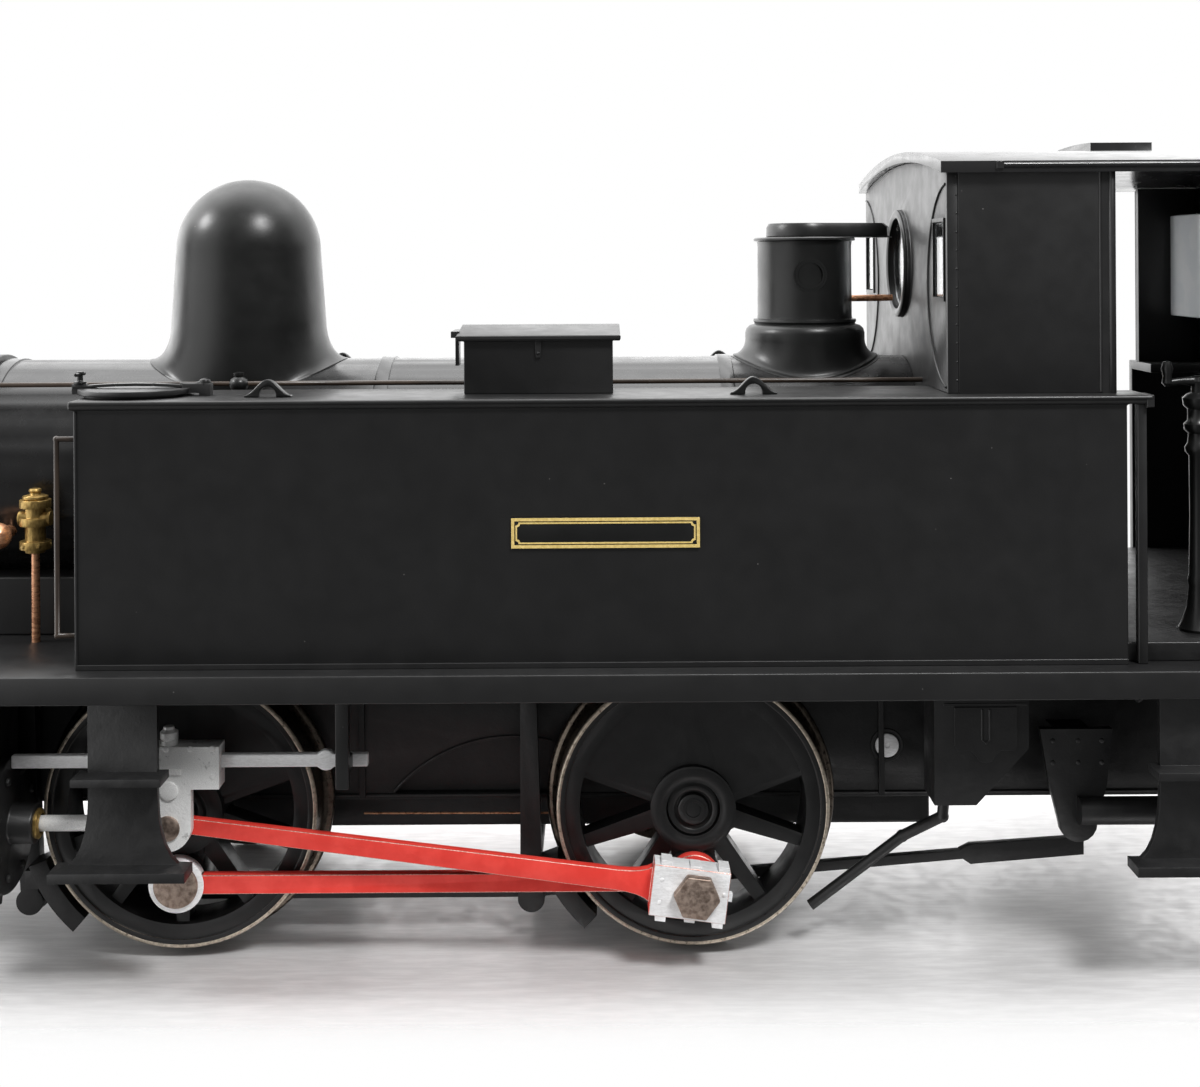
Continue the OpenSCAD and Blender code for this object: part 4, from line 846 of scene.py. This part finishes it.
for y, z in ((-4.6, BOILER_Z + 1.2), (4.6, BOILER_Z + 1.2), (-3.8, BOILER_Z + 3.4)):
    brass.lathe((back_x, y, z), [(0.16, -0.1), (0.16, 0.5), (0.55, 0.55), (0.6, 0.65), (0.5, 0.75),
            (0.1, 0.75)], "X", 24)
brass.done("valve_brass", bevel=0.03)

copper = Piece("backhead_pipes")
for y0, z0, y1, z1 in ((-4.6, BOILER_Z + 1.2, -5.2, PLATE_TOP + 1.2),
        (4.6, BOILER_Z + 1.2, 5.3, PLATE_TOP + 1.2),
                       (-0.9, BOILER_Z + 4.0, -3.8, BOILER_Z + 3.4),
                       (1.2, BOILER_Z + 4.0, 3.4, BOILER_Z + 1.6)):
    copper.tube([(back_x + 0.25, y0, z0), (back_x + 0.3, y0, z0 - 0.5 * (z0 - z1) * 0.3),
                 (back_x + 0.3, (y0 + y1) / 2, (z0 + z1) / 2),
                 (back_x + 0.3, y1, z1 + 0.3 * (z0 - z1)), (back_x + 0.25, y1, z1)], 0.14, 12)
copper.done("pipe_copper", angle=50)

handle = Piece("regulator_handle")
handle.tube([(back_x + 0.7, 0, BOILER_Z + 2.4), (back_x + 0.75, -1.4, BOILER_Z + 3.0),
             (back_x + 0.75, -3.0, BOILER_Z + 3.7)], [0.16, 0.14, 0.18])
handle.lathe((back_x, 0, BOILER_Z + 2.4), [(0.7, -0.1), (0.7, 0.2), (0.35, 0.35), (0.3, 0.9), (0.1, 0.95)],
             "X", 32)
handle.done("slide_bar_steel", bevel=0.03)

BRAKE_X, BRAKE_Y, FLOOR_Z = DOOR_X1 - 4.7, TANK_Y - 3.3, PLATE_TOP + 1
column = Piece("handbrake_column")
turning = [(1.0, 0.0), (1.05, 0.15), (0.9, 0.4), (0.62, 1.2), (0.5, 2.4), (0.56, 2.7), (0.48, 3.0),
           (0.42, 6.0), (0.44, 9.4),
           (0.62, 9.6), (0.66, 9.85), (0.5, 10.1), (0.46, 10.6), (0.68, 10.8), (0.7, 11.1), (0.5, 11.3),
           (0.5, 11.9),
           (0.72, 12.1), (0.76, 12.5), (0.55, 12.7), (0.3, 12.8), (0.3, 13.3), (0.36, 13.4), (0.3, 13.6),
           (0.05, 13.66)]
column.lathe((BRAKE_X, -BRAKE_Y, FLOOR_Z), turning, "Z", 32)
column.tube([(BRAKE_X - 1.75, -BRAKE_Y, FLOOR_Z + 13.3), (BRAKE_X - 0.8, -BRAKE_Y, FLOOR_Z + 13.42),
             (BRAKE_X, -BRAKE_Y, FLOOR_Z + 13.4), (BRAKE_X + 0.8, -BRAKE_Y, FLOOR_Z + 13.42),
             (BRAKE_X + 1.75, -BRAKE_Y, FLOOR_Z + 13.3)], [0.2, 0.2, 0.3, 0.2, 0.2])
for dx in (-1.6, 1.6):
    column.lathe((BRAKE_X + dx, -BRAKE_Y, FLOOR_Z + 13.2),
                 [(0.1, -0.1), (0.28, 0.1), (0.22, 0.5), (0.32, 0.9), (0.2, 1.25), (0.05, 1.3)],
                 "Z", 20)
column.done("gloss_black", angle=45, slot="body_black", replaces=("handbrake",))

# ---------- Motion ----------

for side, body in ((LEFT, "left_crosshead"), (RIGHT, "right_crosshead")):
    name = SIDE_NAME[side]
    x = LEAD_X if side == LEFT else DRIVE_X + THROW - ROD_LEN
    face = 12.65
    knobs = Piece("crosshead_details_" + name, body)
    for dx, dz in ((-2.0, 4.2), (-0.05, 4.2), (1.25, 4.2), (2.4, 4.2), (2.4, 2.75), (-2.0, 2.75)):
        knobs.rivet((x + dx, side * face, AXLE_Z + dz), side, 0.17, 0.09)
    # round boss and the small ledge above it
    knobs.lathe((x + 0.1, side * face, AXLE_Z + 2.0),
                [(0.5, -side * 0.05), (0.5, side * 0.1), (0.42, side * 0.15), (0.05, side * 0.15)],
                "Y", 32)
    knobs.plate(side, [(x - 0.45, AXLE_Z + 2.85), (x + 0.75, AXLE_Z + 2.85), (x + 0.75, AXLE_Z + 3.15),
                       (x - 0.45, AXLE_Z + 3.15)],
                face - 0.02, face + 0.12)
    knobs.lathe((x, side * 12.2, AXLE_Z + 4.55),
                [(0.36, 0.0), (0.46, 0.1), (0.46, 0.45), (0.3, 0.6), (0.28, 0.75)], "Z", 24)
    knobs.done("crosshead_grey", bevel=0.03)
    pin = Piece("crosshead_pin_" + name, body)
    pin.lathe((x, side * face, AXLE_Z),
              [(0.66, -side * 0.03), (0.67, side * 0.1), (0.6, side * 0.14), (0.05, side * 0.15)], "Y", 40)
    pin.done("pin_steel", angle=40)

for side, body in ((LEFT, "left_connecting"), (RIGHT, "right_connecting")):
    name = SIDE_NAME[side]
    pin = Vector((DRIVE_X, 0, LEFT_CRANK_Z)) if side == LEFT else Vector((DRIVE_X + THROW, 0, AXLE_Z))
    slope = -math.asin(THROW / ROD_LEN) if side == LEFT else 0.0
    turn = Matrix.Translation(pin * MM) @ Matrix.Rotation(-slope, 4, "Y") @ Matrix.Translation(-pin * MM)
    block = Piece("big_end_details_" + name, body)
    for dx in (-1.75, -0.2, 1.3):
        for up in (1, -1):
            z0, z1 = sorted((pin.z + up * 1.3, pin.z + up * (1.62 if abs(dx) > 1 else 1.5)))
            block.box(pin.x + dx - 0.28, pin.x + dx + 0.28, side * 11.7, side * 12.72, z0, z1)
    for dx, dz in ((-1.9, 0.6), (-1.9, -0.6), (1.45, 0.2)):
        block.rivet((pin.x + dx, side * 12.75, pin.z + dz), side, 0.12, 0.06)
    block.box(pin.x + 1.68, pin.x + 1.95, side * 11.9, side * 12.3, pin.z - 0.3, pin.z + 0.15)
    block.bm.transform(turn)
    block.done("slide_bar_steel", bevel=0.1, segments=3)

# irregular bare ring under the head of each leading crank pin
for side, body in ((LEFT, "left_coupling"), (RIGHT, "right_coupling")):
    x, z = (LEAD_X, LEFT_CRANK_Z) if side == LEFT else (LEAD_X + THROW, AXLE_Z)
    ring = Piece("pin_washer_" + SIDE_NAME[side], body)
    ring.lathe((x, side * 10.9, z),
               [(0.9, 0), (1.46, 0), (1.5, side * 0.05), (1.42, side * 0.1), (0.9, side * 0.1)], "Y", 48,
               hollow=True)
    ring.done("slide_bar_steel", angle=40)

# ---------- Wheels ----------

# corner ring of each tyre, in a brighter copy of the tyre metal that is a painted highlight: the outline of
# a ring, as radius and height out from the tyre's face
TYRE_FACE = max(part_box("driving_tyres")[1][1], -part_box("driving_tyres")[0][1]) / MM
CORNER = [(7.24, -0.03), (7.28, 0.02), (7.4, 0.02), (7.47, -0.06), (7.47, -0.2), (7.24, -0.2)]
for place, x in (("driving", DRIVE_X), ("leading", LEAD_X)):
    for side in SIDES:
        hub = Piece("hub_" + place + "_" + SIDE_NAME[side], place + "_wheelset")
        # the coupling rod passes over the leading hub, so its rings are lower
        out = side * (0.4 if place == "leading" else 1.0)
        outer = [(2.18, 0), (2.2, 0.03), (2.05, 0.07), (1.75, 0.07), (1.68, 0.02), (1.5, 0.0)]
        middle = [(1.28, 0.02), (1.3, 0.07), (1.12, 0.08), (1.05, 0.02)]
        inner = [(0.6, 0.05), (0.6, 0.09), (0.42, 0.1), (0.4, 0.05)]
        for ring in (outer, middle, inner):
            hub.lathe((x, side * HUB_Y, AXLE_Z), [(r, out * h) for r, h in ring], "Y", 64, hollow=True)
        hub.done("wheel_black", angle=50)
        # edge line of the rim
        rim = Piece("rim_line_" + place + "_" + SIDE_NAME[side], place + "_wheelset")
        rim.lathe((x, side * 9.88, AXLE_Z),
                  [(6.94, 0), (6.98, side * 0.05), (7.04, side * 0.05), (7.08, 0)], "Y", 96, hollow=True)
        rim.done("wheel_black", angle=60)
        # the corner ring's lighter colour is a painted highlight
        corner = Piece("tyre_corner_" + place + "_" + SIDE_NAME[side], place + "_wheelset")
        corner.lathe((x, side * TYRE_FACE, AXLE_Z),
                     CORNER if side == RIGHT else [(r, -h) for r, h in CORNER],
                     "Y", 128, hollow=True)
        corner.done("tyre_edge_painted_highlight", angle=60)

# ---------- Underframe ----------

for side in SIDES:
    name = SIDE_NAME[side]
    marks = Piece("frame_details_" + name)
    # raised lip round the hollow between the wheels
    arch = [(x, AXLE_Z + 2.85 - 8.9 + math.sqrt(max(9.05**2 - (x + 2.5) ** 2, 0)))
            for x in [-9.3 + 0.5 * i for i in range(19)]]
    arch = [(x, z) for x, z in arch if z > 7.95]
    marks.tube([(x, side * (FRAME_Y + 0.01), z) for x, z in arch], 0.07, 8)
    # upright webs beside the brake hangers, bolt heads and a long foot line
    for x in (-11.2, 18.2, 21.0):
        marks.plate(side, [(x, 7.6), (x + 0.35, 7.6), (x + 0.25, PLATE_UNDER), (x, PLATE_UNDER)],
                    FRAME_Y - 0.02, FRAME_Y + 0.25)
    marks.tube([(-28, side * (FRAME_Y + 0.02), 7.75), (44, side * (FRAME_Y + 0.02), 7.75)], 0.09, 8)
    for x, z in ((-14.5, 13.6), (-13.6, 10.0), (16.6, 14.4), (24.5, 9.4), (33.0, 13.0), (38.0, 13.0)):
        marks.rivet((x, side * FRAME_Y, z), side, 0.28, 0.14)
    marks.done("frame_black", bevel=0.03)

    screw = Piece("frame_screw_" + name)
    screw.lathe((SCREW_X, side * FRAME_Y, SCREW_Z),
                [(0.66, -side * 0.1), (0.66, side * 0.12), (0.58, side * 0.17), (0.16, side * 0.17),
                                            (0.1, side * 0.05), (0.02, side * 0.04)], "Y", 40)
    screw.done("slide_bar_steel", angle=35)
    socket = Piece("frame_screw_ring_" + name)
    socket.lathe((SCREW_X, side * FRAME_Y, SCREW_Z),
                 [(0.74, 0), (0.78, side * 0.06), (0.92, side * 0.06), (0.96, 0)], "Y", 40, hollow=True)
    socket.done("frame_black", angle=40)

    panel = Piece("sandbox_panel_" + name)
    sy = 12.9
    lobe = [(22.0, 12.0), (22.25, 11.75), (22.45, 11.45), (22.8, 11.35), (23.15, 11.45), (23.35, 11.75),
            (23.6, 12.0)]
    shape = [(21.15, 14.3), (21.15, 12.25), (21.3, 12.0)] + lobe + [(24.3, 12.0), (24.45, 12.25),
            (24.45, 14.3)]
    panel.plate(side, shape, sy - 0.02, sy + 0.1)
    panel.tube([(22.6, side * (sy + 0.1), 14.2), (22.6, side * (sy + 0.1), 12.6),
                (22.8, side * (sy + 0.1), 12.4),
                (23.0, side * (sy + 0.1), 12.6), (23.0, side * (sy + 0.1), 14.2)], 0.07, 8)
    panel.plate(side, [(20.6, 14.35), (25.0, 14.35), (25.0, 14.5), (20.6, 14.5)], sy - 0.02, sy + 0.06)
    panel.done("frame_black", bevel=0.04)

    rivets = Piece("brake_bracket_rivets_" + name)
    for x in (27.4, 28.8, 30.1):
        for z in (11.35, 10.15):
            rivets.rivet((x, side * 9.1, z), side, 0.14, 0.07)
    rivets.done("frame_black", bevel=0)

    # thin pickup strip between the wheels
    pickup = Piece("pickup_strip_" + name)
    pickup.tube([(-11.0, side * 6.3, 6.65), (0.0, side * 6.3, 6.6), (0.5, side * 6.3, 6.6)], 0.06, 8)
    pickup.done("pipe_copper", angle=50)

    # cylinder covers: a ring of studs, drain cocks and a valve chest cover
    studs = Piece("cylinder_studs_" + name)
    cy = side * CYLINDER_Y
    for k in range(8):
        a = 2 * math.pi * (k + 0.5) / 8
        for cx, way in zip(CYLINDER_ENDS, (-1, 1)):
            studs.lathe((cx, cy + 2.75 * math.cos(a), AXLE_Z + 2.75 * math.sin(a)),
                        [(0.22, 0), (0.22, way * 0.16), (0.1, way * 0.22)], "X", 6)
    for cx in (-38.2, -29.8):
        studs.tube([(cx, cy, AXLE_Z - 3.5), (cx, cy, AXLE_Z - 4.3)], [0.25, 0.16], 12)
    studs.plate(side, [(-37.9, 12.0), (-30.1, 12.0), (-30.1, 15.2), (-37.9, 15.2)], 14.28, 14.42)
    for bolt_x in (-37.5, -35.6, -32.4, -30.5):
        for bolt_z in (12.4, 14.8):
            studs.rivet((bolt_x, side * 14.42, bolt_z), side, 0.16, 0.08)
    studs.done("body_black", bevel=0.03)
    gland = Piece("cylinder_gland_" + name)
    gland.lathe((-27.75, cy, AXLE_Z), [(0.5, -0.05), (0.78, 0.0), (0.8, 0.2), (0.62, 0.3), (0.52, 0.3)],
                "X", 32, hollow=True)
    gland.done("valve_brass", bevel=0.02)

# ---------- Ends ----------

for end, node in ((-1, "front"), (1, "rear")):
    ends = Piece(node + "_beam_details")
    face = end * BEAM_X
    for side in SIDES:
        for dy, dz in ((-1.5, -1.5), (1.5, -1.5), (-1.5, 1.5), (1.5, 1.5)):
            ends.lathe((face, side * 11.4 + dy, 14.2 + dz * 0.9),
                       [(0.26, 0), (0.26, end * 0.14), (0.12, end * 0.2)], "X", 6)
        ends.tube([(face + end * 0.3, side * 8.6, 16.6), (face + end * 0.35, side * 8.6, 17.9),
                   (face + end * 0.35, side * 8.6, 18.9)],
                  [0.2, 0.2, 0.14], 8)
    for dy in (-2.4, 2.4):
        for z in (12.6, 15.8):
            ends.lathe((face, dy, z), [(0.22, 0), (0.22, end * 0.12), (0.1, end * 0.17)], "X", 6)
    ends.rings([[(face + end * dx, y, z) for y, z in ((-1.2, 13.2), (1.2, 13.2), (1.2, 15.2), (-1.2, 15.2))]
                for dx in (-0.02, 0.16)])
    ends.done("body_black", bevel=0.03)

# ---------- Camera, light and floor ----------

scene = bpy.context.scene
scene.view_settings.view_transform = "Standard"

camera_data = bpy.data.cameras.new("camera")
camera_data.lens = 48.75
camera_data.sensor_width = 36
camera_data.shift_y = -0.236
camera_data.clip_start = 0.002
camera_data.clip_end = 20
camera = bpy.data.objects.new("camera", camera_data)
scene.collection.objects.link(camera)
ROLL = 0.35
camera.matrix_world = (Matrix.Translation(Vector((2.6, -98.7, 38.0)) * MM)
                       @ Matrix.Rotation(math.radians(90), 4, "X")
                       @ Matrix.Rotation(math.radians(-ROLL), 4, "Z"))
scene.camera = camera


def area_light(name, place, target, size, power):
    data = bpy.data.lights.new(name, "AREA")
    data.shape = "RECTANGLE"
    data.size, data.size_y = size[0] * MM, size[1] * MM
    data.energy = power
    light = bpy.data.objects.new(name, data)
    scene.collection.objects.link(light)
    light.location = Vector(place) * MM
    light.rotation_euler = (Vector(target) - Vector(place)).to_track_quat("-Z", "Y").to_euler()


# two lamps that stand to the left and to the front right, as the highlights on the dome show
LAMPS = (("left_lamp", (-0.80, -0.15, 0.58), 0.38), ("right_lamp", (0.39, -0.57, 0.74), 0.62))
for name, way, power in LAMPS:
    area_light(name, Vector((-8, 0, 30)) + 260 * Vector(way), (-8, 0, 30), (56, 56), power)
area_light("ceiling", (0, 30, 200), (0, 0, 20), (260, 150), 0.22)

world = bpy.data.worlds.new("studio")
scene.world = world
world.use_nodes = True
tree = world.node_tree
tree.nodes.clear()
output = tree.nodes.new("ShaderNodeOutputWorld")
coordinates = tree.nodes.new("ShaderNodeTexCoord")
split = tree.nodes.new("ShaderNodeSeparateXYZ")
tree.links.new(coordinates.outputs["Generated"], split.inputs["Vector"])


def world_math(operation, a, b):
    made = tree.nodes.new("ShaderNodeMath")
    made.operation = operation
    tree.links.new(a, made.inputs[0])
    tree.links.new(b, made.inputs[1])
    return made.outputs["Value"]


behind = map_range(tree, split.outputs["Y"], -0.2, 0.3, 0.2, 2.2)
above = map_range(tree, split.outputs["Z"], 0.35, 0.8, 0.0, 0.45)
leftward = map_range(tree, split.outputs["X"], -0.9, -0.3, 1.6, 0.0)
glow = world_math("ADD", world_math("ADD", behind, above), leftward)
lit = tree.nodes.new("ShaderNodeBackground")
lit.inputs["Color"].default_value = (1, 1, 1, 1)
tree.links.new(glow, lit.inputs["Strength"])
seen = tree.nodes.new("ShaderNodeBackground")
seen.inputs["Color"].default_value = (1, 1, 1, 1)
seen.inputs["Strength"].default_value = 1.0
ray = tree.nodes.new("ShaderNodeLightPath")
choice = tree.nodes.new("ShaderNodeMixShader")
tree.links.new(ray.outputs["Is Camera Ray"], choice.inputs["Fac"])
tree.links.new(lit.outputs["Background"], choice.inputs[1])
tree.links.new(seen.outputs["Background"], choice.inputs[2])
tree.links.new(choice.outputs["Shader"], output.inputs["Surface"])


def make_floor():
    """A pale table top under the model, which fades into the white of the background."""
    bm = bmesh.new()
    bmesh.ops.create_grid(bm, x_segments=24, y_segments=24, size=400 * MM)
    mesh = bpy.data.meshes.new("floor")
    bm.to_mesh(mesh)
    bm.free()
    s = Shader("floor_white", Metallic=0.25)
    brushed = s.noise(3.0, 5.0, 0.65, s.stretched((1, 6, 6)))
    s.colour(s.mix(s.ramp(brushed, 0.35, 0.7), (0.64, 0.63, 0.63), (0.76, 0.75, 0.75)))
    s.roughness(s.noise(1.0, 4.0), 0.28, 0.42)
    # a soft-edged oblong that ends sooner in front, so that no edge of the table shows
    reach = s.node("ShaderNodeVectorMath", operation="LENGTH")
    s.link(s.stretched((0.62, 1.45, 1)), reach.inputs[0])
    fade = s.node("ShaderNodeMath", operation="MAXIMUM")
    s.link(s.ramp(reach.outputs["Value"], 26 * MM, 58 * MM), fade.inputs[0])
    s.link(s.ramp(s.axis(1), -21 * MM, -13 * MM, 1.0, 0.0), fade.inputs[1])
    clear = s.node("ShaderNodeBsdfTransparent")
    blend = s.node("ShaderNodeMixShader")
    s.link(fade.outputs["Value"], blend.inputs["Fac"])
    s.link(s.bsdf.outputs["BSDF"], blend.inputs[1])
    s.link(clear.outputs["BSDF"], blend.inputs[2])
    s.link(blend.outputs["Shader"], s.out.inputs["Surface"])
    mesh.materials.append(s.material)
    floor = bpy.data.objects.new("floor", mesh)
    scene.collection.objects.link(floor)


make_floor()
